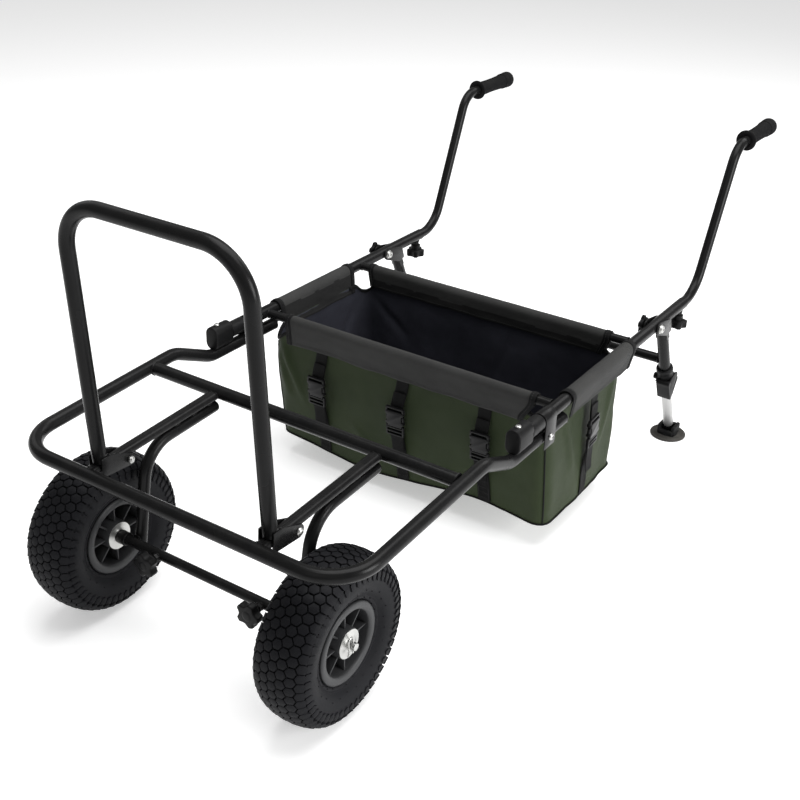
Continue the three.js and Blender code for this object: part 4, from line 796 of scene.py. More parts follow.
def stub_axle(mesh):
    profile = [(0, 70), (5.2, 70), (6, 70.8), (6, 168), (9.6, 168), (11, 169.2), (11, 184.6), (10.2, 185.7),
               (6, 185.9), (6, 264.6), (5.6, 265.6), (4.6, 266), (0, 266)]
    turned(mesh, profile, at(0, *axle_line), ACROSS)
    for face in mesh.faces:
        face.material_index = int(face.calc_center_median().x > COLLAR_END * MM)


def cotter_pin(mesh):
    shape = [(0, -12), (0, 16), (-11, 18), (-10, 8), (-9.6, 0), (-7.5, -6), (-11, -12)]
    wire = [(PIN_PLACE, axle_line[0] + y, axle_line[1] + z) for y, z in shape]
    tube(mesh, wire, [5.5, 5.0, 4.0, 6.0, 5.0], 2.6, (0.5, 0.5), 12, 12)


pair("stub_axle", stub_axle, [powder_coat, zinc])
pair("cotter_pin", cotter_pin, zinc)

# %% [markdown]
# Six lobed knobs lock the stub axles, the handles and the stand. Each is a circle whose edge is pushed
# in five times, then extruded and bevelled, so its crown is soft where the hand goes. A knob's screw is
# spun from a zigzag, and its neck joins the two.


# %% Lobed knobs
def lobed_knob(mesh, knob, place, axis):
    """A five-lobed knob: its screw's tip is at the place and its head lies along the axis."""
    diameter, height, screw_turns = knob["diameter"], knob["height"], knob["turns"]
    stem_length, stem_radius = knob["stem"]
    matrix = frame_at(place, axis)
    seat = stem_length + knob["neck"]
    ring = circle(mesh, 12 * LOBES, diameter / 2, matrix @ Matrix.Translation(UP * seat * MM))
    centre = matrix @ (UP * seat * MM)
    for vert in ring:
        out = matrix.to_quaternion().inverted() @ (vert.co - centre)
        angle = math.atan2(out.y, out.x)
        flute = max((1 - math.cos(LOBES * angle)) / 2 - 0.24, 0) / 0.76
        vert.co = centre + (vert.co - centre) * (1 - 0.25 * flute ** 0.7)
    face = bmesh.ops.contextual_create(mesh, geom=edges_at(ring))["faces"][0]
    out = bmesh.ops.extrude_face_region(mesh, geom=[face])["geom"]
    top = [g for g in out if isinstance(g, bmesh.types.BMFace)][0]
    bmesh.ops.translate(mesh, vec=axis * height * MM, verts=top.verts)
    rims = [edge for f in (face, top) if f.is_valid for edge in f.edges]
    softened(mesh, rims, height * 0.16 * MM, 3)
    bmesh.ops.recalc_face_normals(mesh, faces=mesh.faces)
    crown = [(0, -1), (0.2, -1), (0.2, 0), (0.18, 0.5), (0.1, 0.9), (0, 1)]
    turned(mesh, [(diameter * r, seat + height + rise) for r, rise in crown], place, axis)
    neck = diameter * 0.26
    turned(mesh, [(0, stem_length - 0.3), (neck * 0.86, stem_length - 0.3), (neck, stem_length + 0.6),
                  (neck * 1.02, seat), (neck * 1.25, seat + 1.0), (0, seat + 1.0)], place, axis)
    if screw_turns:
        thread = [(0, 0), (stem_radius * 0.7, 0)]
        for k in range(screw_turns):
            low = stem_length * (k + 0.3) / (screw_turns + 0.3)
            thread += [(stem_radius * 0.84, low), (stem_radius, low + stem_length * 0.4 / screw_turns)]
        turned(mesh, thread + [(stem_radius * 0.84, stem_length), (0, stem_length)], place, axis, 20)
    else:
        bush = [(0, 0), (stem_radius, 0), (stem_radius, stem_length), (0, stem_length)]
        turned(mesh, bush, place, axis, 28)


LOBES = 5
AXLE_KNOB = {"diameter": 41, "height": 14, "neck": 5.2, "stem": (12.2, 4), "turns": 8}
HANDLE_KNOB = {"diameter": 38, "height": 15, "neck": 10, "stem": (8.8, 4), "turns": 6}
STAND_KNOB = {"diameter": 36, "height": 6.5, "neck": 0.6, "stem": (1.6, 8), "turns": 0}
axle_seat, handle_seat = at(AXLE["knob"], AXLE["place"] - 6.3, AXLE["height"]), on_rail(RAIL["knob"], -9.8)
pair("axle_knob", lambda mesh: lobed_knob(mesh, AXLE_KNOB, axle_seat, -ALONG), black_plastic)
pair("handle_knob", lambda mesh: lobed_knob(mesh, HANDLE_KNOB, handle_seat, -UP), black_plastic)
for label, side in SIDES:
    knob = built(lobed_knob, STAND_KNOB, at(side * RAIL["offset"] - 14.9, *STAND_PIVOT), -ACROSS)
    dressed(f"fine_stand_knob_{label}", knob, black_plastic, [f"stand_knob_{label}"])

# %% [markdown]
# ## The wheels
# A barrow wheel is a plastic hub in two flanged halves, each with eight thin ribs, a bush and a zinc
# cover at each side, and a pneumatic tyre. The hub's section is spun; each rib is a thin block.

# %% Hubs
wheel_centre = at(220.2, *axle_line)
RIBS = 8
VALVE_TURN = math.pi / RIBS


def hub(mesh):
    half = [(61.5, 0), (61.5, 25), (61.9, 27), (63, 28.6), (63.6, 30.4), (63.2, 32), (62, 33.2), (60, 33.9),
            (57, 34), (54, 33.6), (51.6, 32.6), (50.2, 31), (49.6, 28.6), (49.4, 6), (48.8, 4.6), (47.4, 4),
            (26.5, 4), (24.8, 4.8), (24.1, 6.4), (23.4, 30.6), (22.8, 31.7), (21.8, 32), (11.6, 32),
            (10.3, 31), (10.3, 0)]
    turned(mesh, half[::-1] + [(r, -x) for r, x in half[1:]], wheel_centre, ACROSS, 64)
    for i in range(RIBS):
        turn = Matrix.Translation(wheel_centre) @ Matrix.Rotation(math.tau * i / RIBS, 4, "X")
        for side in (-1, 1):
            block(mesh, (23.2, 2.8, 27.2), turn @ spot(side * 14.6, 0, 36.8))


BEARING = [(6.3, 7.6), (9.9, 7.6), (9.9, 32.3), (20.6, 32.3), (22, 32.5), (22.5, 33), (22.3, 33.5),
           (21.2, 33.6), (13.2, 33.6), (12.2, 34.3), (11.2, 34.5), (8.2, 34.5), (7, 34.2), (6.3, 33.4),
           (6.3, 7.6)]
pair("hub", hub, hub_plastic)
pair("outer_bearing", lambda mesh: turned(mesh, BEARING, wheel_centre, ACROSS), zinc)
pair("inner_bearing", lambda mesh: turned(mesh, BEARING, wheel_centre, -ACROSS), zinc)

# %% [markdown]
# The tyre is a smooth carcass with a honeycomb of rubber blocks on it. One block is a six-sided disc,
# extruded, narrowed and softened, and cut across so that it can bend. Each copy is wrapped onto the
# crown: its first number becomes an angle round the wheel, its second a walk across the tread and its
# third a height that rises a little towards one end. Rows sit half a pitch apart; lugs fade out over
# the shoulders, and small moulding pips dot the sidewalls.

# %% Tyres
PITCHES = 52
ROW = 13.2
TREAD_DEPTH = 4.1
TREAD_RADIUS = 126
CARCASS = [(62.1, 22.4), (62.2, 26.2), (63.6, 29), (66.5, 31.6), (69, 32.6), (71.4, 32), (73.6, 33.4),
           (77, 37.2), (82, 40.2), (90, 42.4), (98, 43.3), (106, 42.6), (112.5, 39.8), (117.6, 35),
           (121.2, 28.4), (123.8, 20), (125.2, 10), (125.6, 0)]
CROWN = [(x, r) for r, x in CARCASS[::-1]]


def block_form():
    """A six-sided block, 1 long, 1 wide and 1 high, with soft upper edges."""
    form = bmesh.new()
    bmesh.ops.create_circle(form, segments=6, radius=0.5, cap_ends=True)
    top = verts_in(bmesh.ops.extrude_face_region(form, geom=form.faces[:])["geom"])
    bmesh.ops.translate(form, vec=UP, verts=top)
    bmesh.ops.scale(form, vec=(0.94, 0.94, 1), verts=top)
    bmesh.ops.scale(form, vec=(2 / math.sqrt(3), 1, 1), verts=form.verts)
    rims = [edge for edge in form.edges if all(vert.co.z > 0.5 for vert in edge.verts)]
    softened(form, rims, 0.03, 1)
    for normal in (ACROSS, ALONG):
        bmesh.ops.bisect_plane(form, geom=[*form.verts, *form.edges, *form.faces], plane_co=(0, 0, 0),
                               plane_no=normal)
    bmesh.ops.recalc_face_normals(form, faces=form.faces)
    return as_data(form, "block_form")


BLOCK_FORM = block_form()


def tread_block(mesh, turn, across, long, wide, height):
    """One rubber block, long round the wheel and wide across it, in a bmesh that holds only such blocks."""
    first = len(mesh.verts)
    mesh.from_mesh(BLOCK_FORM)
    mesh.verts.ensure_lookup_table()
    for vert in mesh.verts[first:]:
        walk = across + vert.co.y * wide
        x, radius = off_line(CROWN, abs(walk), 1 - (height + 0.5 + 0.9 * vert.co.x) * vert.co.z)
        angle = turn + vert.co.x * long / TREAD_RADIUS
        out = math.copysign(x, walk)
        vert.co = wheel_centre + Vector((out, -radius * math.sin(angle), radius * math.cos(angle))) * MM


def tread():
    """All the blocks of one tyre, as mesh data."""
    mesh = bmesh.new()
    pitch = math.tau / PITCHES
    long = pitch * TREAD_RADIUS
    for i in range(PITCHES):
        for row in range(-3, 4):
            turn = pitch * (i + row % 2 / 2)
            tread_block(mesh, turn, row * ROW, long - 1.6, ROW / 0.75 - 1.5, TREAD_DEPTH)
        for side in (-1, 1):
            tread_block(mesh, pitch * (i + 0.5), side * ROW * 3.9, long - 3, ROW * 1.3, TREAD_DEPTH * 0.55)
            if i % 2:
                tread_block(mesh, pitch * i, side * (74 + i * 5 % 7), 2, 2, 1.3)
                tread_block(mesh, pitch * (i + 0.4), side * (91 + i * 3 % 5), 2, 2, 1.3)
    return as_data(mesh, "tread")


def tyre(mesh):
    carcass = [*CARCASS, *[(r, -x) for r, x in CARCASS[-2::-1]]]
    inner = [(62.1, -20), (70, -24), (84, -34), (98, -37), (110, -33), (119, -20), (121.5, 0)]
    inner += [(r, -x) for r, x in inner[-2::-1]]
    turned(mesh, [*carcass, *inner, carcass[0]], wheel_centre, ACROSS, 96)
    bmesh.ops.recalc_face_normals(mesh, faces=mesh.faces)
    mesh.from_mesh(tread())


def inner_tube(mesh):
    ring = [(87.4 - 25 * math.cos(math.tau * k / 20), 27 * math.sin(math.tau * k / 20)) for k in range(21)]
    turned(mesh, ring, wheel_centre, ACROSS, 48)
    way = Matrix.Rotation(VALVE_TURN, 3, "X") @ UP
    stem = [(0, 0), (2.6, 0), (3, 0.5), (3, 3.2), (3.9, 3.5), (4, 4.2), (4, 13), (3.4, 13.6), (4.2, 14.4),
            (4.2, 27), (0, 27)]
    turned(mesh, stem, wheel_centre + (ACROSS * 13 + way * 37) * MM, way, 20)


pair("tyre", tyre, tyre_rubber, 26)
pair("inner_tube", inner_tube, soft_rubber)

# %% [markdown]
# ## The hoop
# A second bent tube stands on the deck bars and folds back on two bolts. Four cheek plates carry it:
# flat outlines given a thickness, softened at their rims and welded to the tube's sides.

# %% Hoop and its bolts
HOOP = {"foot": (158, 31.2), "top": (156, 7.1, 700.7), "bend": 70, "diameter": 22}
hoop_half = [(*HOOP["foot"], nose_height(HOOP["foot"][1]) + DECK["rise"] + 7.25), HOOP["top"]]
hoop = bmesh.new()
tube(hoop, hoop_half + [(-x, y, z) for x, y, z in reversed(hoop_half)], [HOOP["bend"]] * 2, HOOP["diameter"],
     (0.2, 0.2), 36, 5)
CHEEK = [(23, 309), (22, 292), *arc((31, 288), 9.5, 190, 262, 5), *arc(HOOP_PIVOT, 10.8, 270, 405, 10),
         (42.2, 310)]
for _, side in SIDES:
    for offset in (-12.2, 12.2):
        plate(hoop, CHEEK, 3, side_on(side * DECK["offset"] + offset), bevel=0.7)
    for offset in (-10.6, 10.6):
        for z, seed in ((302.5, 1), (307.5, 2)):
            place = at(side * DECK["offset"] + offset, 34 + offset * 0.1, z)
            bead(hoop, place, ACROSS, 4.6, 2.4, 18, 6, seed)
dressed("fine_hoop", hoop, powder_coat, ["hoop"])


def cross_bolt(mesh, height, middle, half, place, level):
    """A 6 mm bolt along X with a domed socket head at its far end and a nut at its near end."""
    turned(mesh, [(0, -height - 1.6), (2.52, -height - 1.6), (3, -height - 1), (3, 2 * half)],
           at(middle - half, place, level), ACROSS, 20)
    dome = [(3, 0), (6, 0), (6, 0.35), (5.28, 0.72), (3.6, 0.95), (2.4, 1), (2.4, 0.4), (0, 0.4)]
    turned(mesh, [(r, height * share) for r, share in dome], at(middle + half, place, level), ACROSS, 28)
    nut = Matrix.Translation(at(middle - half - height / 2, place, level))
    plate(mesh, hexagon(6), height, nut @ axes(ALONG, UP, ACROSS), 0.5)


pair("hoop_bolt", lambda mesh: cross_bolt(mesh, 4.5, DECK["offset"], 14, *HOOP_PIVOT), zinc)
print("front end done")

# %% [markdown]
# ## Rails, cross tubes and their fittings
# The two rails are straight tubes with an open bore at the back, where the handles slide in. The bore
# matters, so a rail is a wall with thickness: an outer and an inner profile spun in one go.


# %% Rails and cross tubes
def rail(mesh):
    outer, length = RAIL["diameter"] / 2, RAIL["rear"] - RAIL["front"]
    inner, soft = outer - RAIL["wall"], RAIL["wall"] * 0.35
    wall = [(inner, soft), (inner + soft, 0), (outer - soft, 0), (outer, soft), (outer, length - soft),
            (outer - soft, length), (inner + soft, length), (inner, length - soft), (inner, soft)]
    turned(mesh, wall, on_rail(RAIL["front"]), ALONG)
    plate(mesh, hexagon(7.5), 7.4, Matrix.Translation(on_rail(RAIL["knob"], -14.2)), 0.5)
    bead(mesh, on_rail(RAIL["knob"], -10.6), UP, 7.0, 2.2, 24, 6, 4)


def cross_tube(mesh, place):
    cross(mesh, RAIL["offset"] - 10, place, RAIL["height"], 16)
    for _, side in SIDES:
        bead(mesh, at(side * (RAIL["offset"] - 11.3), place, RAIL["height"]), ACROSS, 7.8, 2.6, seed=12)


pair("rail", rail, powder_coat)
BAG_TUBES = {"front": 577, "rear": 870.5}
for name, place in BAG_TUBES.items():
    dressed(f"fine_bag_{name}_tube", built(cross_tube, place), powder_coat, [f"bag_{name}_tube"])

# %% [markdown]
# The clamp is one moulding: an oval cap over the rail's front end and a sleeve behind it, with a screw
# on top. The cap is an oval plate, and its rim is bevelled so that it looks moulded, not cut. The
# saddle is an arch with two straight sides that ties the rail to the nose tube's tail under it.


# %% Rail clamps and saddles
CLAMP = {"cap": 452, "sleeve": 474, "screw": 445}
SADDLE = {"place": 532.5, "low": 254, "bolt": 533}


def front_on(place):
    """A matrix that stands a flat outline across the right rail."""
    return Matrix.Translation(on_rail(place)) @ axes(ACROSS, UP, -ALONG)


def rail_clamp(mesh):
    oval = [*arc((0, 8), 13.5, 0, 180, 14), *arc((0, -8), 13.5, 180, 360, 14)]
    plate(mesh, oval, 44, front_on(CLAMP["cap"]), 2.6, 4)
    profile = [(11.3, 0), (13.7, 0), (13.7, 37), (13.2, 38), (11.3, 38), (11.3, 0)]
    turned(mesh, profile, on_rail(CLAMP["sleeve"]), ALONG)
    turned(mesh, [(5.4, 0), (5.4, 0.6), (0, 0.6)], on_rail(CLAMP["screw"], 21.2), UP, 24)


def clamp_screw(mesh):
    head = [(0, 0), (4.5, 0), (4.5, 1.1), (3.9, 2.2), (2.6, 2.8), (1.6, 2.9), (1.6, 1.2), (0, 1.2)]
    turned(mesh, head, on_rail(CLAMP["screw"], 21.5), UP, 28)


def saddle(mesh):
    inner, outer, low = 11.8, 13.6, SADDLE["low"] - RAIL["height"]
    outline = [(outer, low + 8), *arc((0, 0), outer, 0, 180, 20), (-outer, low + 8), (-outer + 0.4, low),
               (-inner, low), *arc((0, 0), inner, 180, 0, 20), (inner, low), (outer - 0.4, low)]
    plate(mesh, outline, 35, front_on(SADDLE["place"]), 0.5)


def strap_bolt(mesh):
    cross_bolt(mesh, 4, RAIL["offset"], 13.9, SADDLE["bolt"], NOSE["tail_height"])


pair("rail_clamp", rail_clamp, black_plastic)
for label, screw in (("right", built(clamp_screw)), ("left", mirrored(built(clamp_screw)))):
    dressed(f"clamp_screw_{label}", screw, zinc, body="frame")
pair("rail_strap", saddle, powder_coat)
pair("strap_bolt", strap_bolt, zinc)

# %% [markdown]
# ## The push handles
# Each handle is a bent tube that slides in its rail, with a foam grip: a flange towards the user's
# knuckles, a long hollow for the palm and a swelling at the end. It is a turned shape, and fine rings
# round it give the hand a hold.

# %% Handles and grips
GRIP = (303.5, 1311.7, 572)
HANDLE = [(RAIL["offset"], 985, RAIL["height"]), (RAIL["offset"], 1152.8, RAIL["height"]),
          (GRIP[0], 1267.3, GRIP[2]), (GRIP[0], 1445, GRIP[2])]


def grip(mesh):
    profile = [(0, 134), (9.7, 134), (9.7, 0.6), (10.4, 0), (18.6, 0), (19.8, 1), (20, 2.2), (19.6, 3.4),
               (18.2, 4.4), (16.6, 5.2), (15.4, 7.4)]
    for k in range(24):
        along = 10 + k * 4.6
        base = 14.8 - 0.9 * math.sin(math.pi * min(1, k / 20)) + (1.6 if k > 20 else 0.3 * k / 20)
        profile += [(base, along), (base - 0.45, along + 3.4), (base, along + 3.9)]
    profile += [(17, 124), (17, 132), (16.2, 135.6), (14.2, 137.6), (11, 138.5), (0, 138.5)]
    turned(mesh, profile, at(*GRIP), ALONG, 40)


pair("handle", lambda mesh: tube(mesh, HANDLE, [70, 50], 19, sides=32, step_degrees=5), powder_coat)
pair("grip", grip, grip_foam, 60)

# %% [markdown]
# ## The folding stand
# Two leg heads straddle the rails and swing on bolts; the legs lean back 24.6 degrees. Every piece on a
# leg is drawn along that leg: reach is measured forwards or back from its middle line, and along is
# measured down it.

# %% Places along a leg
STAND = {"offset": 300.5, "top": 996.2, "tilt": math.radians(24.6), "bar": 110}
lean, stretch = math.sin(STAND["tilt"]), math.cos(STAND["tilt"])
down_leg = Vector((0, lean, -stretch))
off_leg = Vector((0, stretch, lean))


def leg_point(along, reach=0.0, x=None):
    """A drawing place at a distance down a leg, and a reach behind its middle line."""
    return (STAND["offset"] if x is None else x, STAND["top"] + along * lean + reach * stretch,
            RAIL["height"] - along * stretch + reach * lean)


def leg_matrix(along, reach=0.0, x=None):
    """A matrix whose X runs across, Y behind the leg and Z up the leg."""
    return Matrix.Translation(at(*leg_point(along, reach, x))) @ axes(ACROSS, off_leg, -down_leg)


def leg_side(x):
    """A matrix for a flat outline of (reach, up the leg), given a thickness across."""
    return Matrix.Translation(at(*leg_point(0, 0, x))) @ axes(off_leg, -down_leg, ACROSS)


# %% [markdown]
# The leg heads are pressed plates: a round ear at the pivot and a tail down the leg. A flat web joins
# each pair just under the rail, and thin packers fill the gaps beside the leg.


# %% Leg heads, legs and crossbar
def stand_head(mesh):
    low_rear, low_front = leg_point(31, 9), leg_point(27, -10)
    outline = [*arc(STAND_PIVOT, 12.4, 250, 90, 12), (1001, 307.4), (1008, 305), (1013, 291.7),
               low_rear[1:], low_front[1:]]
    for offset in (-12.8, 12.8):
        plate(mesh, outline, 3, side_on(RAIL["offset"] + offset), 0.7)
        block(mesh, (1.4, 12, 18), leg_matrix(38, 0, RAIL["offset"] + math.copysign(10.6, offset)), 0.3, 1)
    block(mesh, (24.6, 20, 2), Matrix.Translation(at(RAIL["offset"], 1001, 290.7)), 0.6)


def stand_leg(mesh):
    tube(mesh, [leg_point(20), leg_point(200)], [], 22.4, (0.6, 0.2))
    bead(mesh, at(*leg_point(STAND["bar"], 0, STAND["offset"] - 11.4)), ACROSS, 9.2, 2.4, seed=14)


def stand_bolt(mesh, side):
    x = side * RAIL["offset"]
    turned(mesh, [(0, -14.6), (4, -14.6), (4, 16), (0, 16)], at(x, *STAND_PIVOT), ACROSS, 24)
    dome = [(4, 0), (8.4, 0), (8.6, 0.6), (8.4, 1.2), (7.5, 1.3), (7.5, 3), (6.6, 5), (4.6, 5.9), (2.4, 6),
            (2.4, 3), (0, 3)]
    turned(mesh, dome, at(x + 14.6, *STAND_PIVOT), ACROSS, 28)


pair("stand_head", stand_head, powder_coat)
pair("stand_leg", stand_leg, powder_coat)
for label, side in SIDES:
    dressed(f"fine_stand_bolt_{label}", built(stand_bolt, side), zinc, [f"stand_bolt_{label}"])
stand_bar = bmesh.new()
cross(stand_bar, STAND["offset"] - 9.6, *leg_point(STAND["bar"])[1:], 18.6)
dressed("fine_stand_crossbar", stand_bar, powder_coat, ["stand_crossbar"])

# %% [markdown]
# The cam lock is a collar whose lever squeezes it. The collar is spun, with one soft block as the
# housing of the cam and two turned pins across it. The lever is a bent blade drawn as a side outline,
# with a cheek on each side of the collar.


# %% Cam collars and levers
def cam_collar(mesh):
    profile = [(11.7, -196), (11.7, -130), (14.4, -130), (15.6, -130.8), (16.4, -134), (16.4, -138),
               (15.4, -139.4), (15.6, -144), (17.4, -153), (17, -160), (14.6, -162), (14.6, -190),
               (13.6, -194), (10.6, -196), (10.6, -195), (11.7, -196)]
    turned(mesh, profile, at(*leg_point(0)), -down_leg)
    block(mesh, (24, 30, 34), leg_matrix(171, 0, STAND["offset"] + 2), 2.4, 3)
    button = [(0, -19), (5.6, -19), (6.6, -18), (6.6, -10), (5.6, -9), (0, -9)]
    turned(mesh, button, at(*leg_point(153, -8)), ACROSS, 24)
    pin = [(0, -12), (2.2, -12), (2.4, -11.6), (2.4, 15), (2.2, 15.4), (0, 15.4)]
    turned(mesh, pin, at(*leg_point(156, -17)), ACROSS, 20)


def cam_lever(mesh):
    blade = [*arc((-18.5, -156), 5.4, 20, 200, 10), (-23.6, -166), (-23.4, -184), (-22.4, -197),
             (-20.6, -198.4), (-18.4, -197), (-19.0, -184), (-19.2, -166), (-14.4, -161)]
    outer_cheek = [(-20, -151), (-4, -149), (10, -150.4), (17.4, -156), (18, -164), (-8, -182),
                   (-6.6, -185.4), (18, -169), (17, -174.6), (-9, -194), (-21, -197)]
    inner_cheek = [(-20, -151), (-8, -151), (0, -158), (-2, -172), (-12, -190), (-21, -197)]
    plate(mesh, blade, 27, leg_side(STAND["offset"] + 4.6), 1.0, 3)
    plate(mesh, outer_cheek, 3, leg_side(STAND["offset"] + 16.6), 0.7)
    plate(mesh, inner_cheek, 2.4, leg_side(STAND["offset"] - 8.6), 0.7)


pair("cam_collar", cam_collar, black_plastic)
pair("cam_lever", cam_lever, black_plastic)

# %% [markdown]
# The inner leg is bright tube that ends in a plastic ankle. The foot is a rubber disc with a raised
# square cup of four blocks, in which the ankle rocks.

# %% Inner legs and feet
FOOT_HEIGHT = 15
FOOT_ALONG = (RAIL["height"] - FOOT_HEIGHT) / stretch
CUP = [((7, 32, 21), (14.6, 0, 15)), ((7, 32, 21), (-14.6, 0, 15)), ((31, 6.4, 18), (0, 14.6, 13.5)),
       ((31, 6.4, 11), (0, -14.6, 10))]


def inner_leg(mesh):
    tube(mesh, [leg_point(112), leg_point(FOOT_ALONG - 17)], [], 20, (0.4, 3), 32)
    bright = len(mesh.faces)
    ankle = [(0, -3), (7.4, -3), (8.4, -2), (8.4, 3), (7, 6), (5, 8), (5, 15)]
    turned(mesh, ankle, at(*leg_point(FOOT_ALONG - 15)), down_leg)
    turned(mesh, [(0, -6), (6.2, -6), (7, -5), (7, 5), (6.2, 6), (0, 6)], at(*leg_point(FOOT_ALONG)), ACROSS)
    for face in list(mesh.faces)[bright:]:
        face.material_index = 1


def foot(mesh):
    place = at(STAND["offset"], leg_point(FOOT_ALONG)[1], 0)
    disc = [(0, 0), (34.4, 0), (35.4, 0.8), (35.6, 2), (35.6, 3.2), (35, 4), (33.6, 4.4), (20, 4.7),
            (12, 4.8), (0, 4.8)]
    turned(mesh, disc, place, UP, 48)
    for k in range(3):
        turned(mesh, [(24.4 + k * 2.6, 4.5), (24.9 + k * 2.6, 5.1), (25.4 + k * 2.6, 4.5)], place, UP, 48)
    pad = len(mesh.faces)
    for face in mesh.faces:
        face.material_index = 1
    turned(mesh, [(19.6, 4), (19.2, 6.4), (18, 9), (16, 10), (11.2, 10), (11.2, 4)], place, UP, 32)
    for size, middle in CUP:
        block(mesh, size, Matrix.Translation(place) @ spot(*middle), 2.2, 3)
    for face in list(mesh.faces)[pad:]:
        face.material_index = 0


pair("inner_leg", inner_leg, [bright_tube, black_plastic])
pair("foot", foot, [soft_rubber, pad_rubber])
print("frame done")

# %% [markdown]
# ## The bag
# The bag is sewn from flat cloth, so each panel starts as a flat grid that keeps its flat size as a UV
# map in metres: the weave then follows the cloth wherever it goes. A mapping says where each point of
# the flat panel hangs.

# %% Flat cloth
BAG = {"half": 287, "top_half": 284.5, "front": (602.5, 578.5), "rear": (878, 869.5), "seam": 50, "top": 276,
       "corner": 22, "sag": 8}


def crumple(x, y, z, size, seed=0.0):
    """A smooth random height, about -1 to 1, that changes over a size in millimetres."""
    return smooth_noise.noise(Vector((x, y, z)) / size + Vector((seed, 1.7 * seed, 0.3)))


def fade(value, low, high):
    """0 below low, 1 above high and a soft step between."""
    share = min(max((value - low) / (high - low), 0.0), 1.0)
    return share * share * (3 - 2 * share)


def cloth_grid(mesh, columns, rows, length, height, mapping):
    """Lays a flat cloth of a size in millimetres by a mapping of its two shares."""
    layer = mesh.loops.layers.uv.get("cloth") or mesh.loops.layers.uv.new("cloth")
    verts = bmesh.ops.create_grid(mesh, x_segments=columns, y_segments=rows, size=1)["verts"]
    for face in {face for vert in verts for face in vert.link_faces}:
        for loop in face.loops:
            x, y = loop.vert.co.xy
            loop[layer].uv = ((x + 1) / 2 * length * MM, (y + 1) / 2 * height * MM)
    for vert in verts:
        vert.co = mapping((vert.co.x + 1) / 2, (vert.co.y + 1) / 2)
    return verts


def sewn(name, mesh, materials, thickness, nodes=(), lined=False):
    """Dresses a sheet, thickens it and makes it finer; a lined one has its second material inside."""
    piece = dressed(name, mesh, materials, nodes, "frame", 180)
    sheet = piece.modifiers.new("thickness", "SOLIDIFY")
    sheet.thickness = thickness * MM
    sheet.offset = -1.0 if lined else 0.0
    sheet.material_offset = int(lined)
    finer = piece.modifiers.new("finer", "SUBSURF")
    finer.levels = finer.render_levels = 1


# %% [markdown]
# The walls are one strip round a rectangle with round corners. The strip narrows to the front and the
# rear tube at its top, dips at the four corners where no sleeve holds it, and carries the folds of a
# hanging bag: long shallow waves, a fine crumple, and drag lines that run down from the corners. A drag
# line is given for each wall as a start, an end, a depth and a width.

# %% Walls
BORDER = []
for side_x, side_y, first in ((1, 1, 0), (-1, 1, 90), (-1, -1, 180), (1, -1, 270)):
    corner_y = BAG["rear"][0] - BAG["corner"] if side_y > 0 else BAG["front"][0] + BAG["corner"]
    BORDER += arc((side_x * (BAG["half"] - BAG["corner"]), corner_y), BAG["corner"], first, first + 90, 6)
BORDER.append(BORDER[0])
ROUND = line_length(BORDER)
FRONT_LINES = [(-270, 262, -212, 110, 10.0, 6.5), (-276, 240, -252, 110, 7.0, 6),
               (262, 240, 206, 120, 5.4, 7), (-110, 130, -30, 62, 4.6, 8), (120, 62, 60, 120, 4.2, 8)]
REAR_LINES = [(262, 250, 170, 140, 5.0, 9), (-262, 250, -150, 150, 6.0, 9), (60, 262, 20, 120, 4.4, 9)]
RIGHT_LINES = [(656, 262, 706, 84, 8.0, 6.5), (850, 250, 790, 90, 6.0, 8)]
LEFT_LINES = [(640, 262, 700, 120, 4.2, 9), (850, 250, 780, 110, 5.2, 9)]
DRAG_LINES = []
for lines, y in ((FRONT_LINES, 604), (REAR_LINES, 876)):
    DRAG_LINES += [(Vector((x, y, z)), Vector((end, y, low)), *form) for x, z, end, low, *form in lines]
for lines, x in ((RIGHT_LINES, 284), (LEFT_LINES, -284)):
    DRAG_LINES += [(Vector((x, y, z)), Vector((x, end, low)), *form) for y, z, end, low, *form in lines]


def seam_height(x, y):
    """The base seam isn't level: it sags at the left of the front and is drawn up at the right."""
    near_front = 1 - fade(y, BAG["front"][0], BAG["rear"][0])
    wave = 9 * math.exp(-((x - 150) / 75) ** 2) - 16 * math.exp(-((x + 90) / 125) ** 2)
    return BAG["seam"] + near_front * wave


def hanging(x, y, z, out=0.0):
    """Where a point of the bag's border, taken at a height, hangs; out lifts it off the cloth."""
    half, corner = BAG["half"], BAG["corner"]
    front, rear = BAG["front"][0], BAG["rear"][0]
    core = Vector((min(max(x, corner - half), half - corner), min(max(y, front + corner), rear - corner)))
    normal = (Vector((x, y)) - core).normalized()
    share = (z - BAG["seam"]) / (BAG["top"] - BAG["seam"])
    held = 1 - fade(share, 0.72, 1.0)
    slack = 1 + 0.5 * fade(y, front + 200, rear)
    lift = out + held * slack * (3.4 * crumple(x, y, z * 0.45, 95) + 1.7 * crumple(x, y, z * 0.7, 40, 3.0))
    lift += 0.5 * slack * crumple(x, y, z, 15, 6.0) + 3.0 * math.sin(math.pi * min(max(share, 0), 1)) * held
    lift -= 3.5 * held * fade(y, front + 190, rear - 30)
    for start, end, depth, width in DRAG_LINES:
        run, off = end - start, Vector((x, y, z)) - start
        along = min(max(off.dot(run) / run.length_squared, 0), 1)
        away = (run * along - off).length
        lift += depth * math.sin(math.pi * min(along + 0.15, 1)) * math.exp(-(away / width) ** 2) * held
    deep = (rear - front) / 2
    near_corner = fade(abs(x), half - corner - 14, half - 6)
    near_corner *= fade(abs(y - front - deep), deep - corner - 14, deep - 6)
    z += (seam_height(x, y) - BAG["seam"]) * max(1 - share, 0) ** 2 - 19 * fade(share, 0.8, 1.0) * near_corner
    x *= 1 + (BAG["top_half"] / half - 1) * share
    back = (y - front) / (rear - front)
    y += share * ((BAG["front"][1] - front) * (1 - back) + (BAG["rear"][1] - rear) * back)
    return at(x + normal.x * lift, y + normal.y * lift, z)


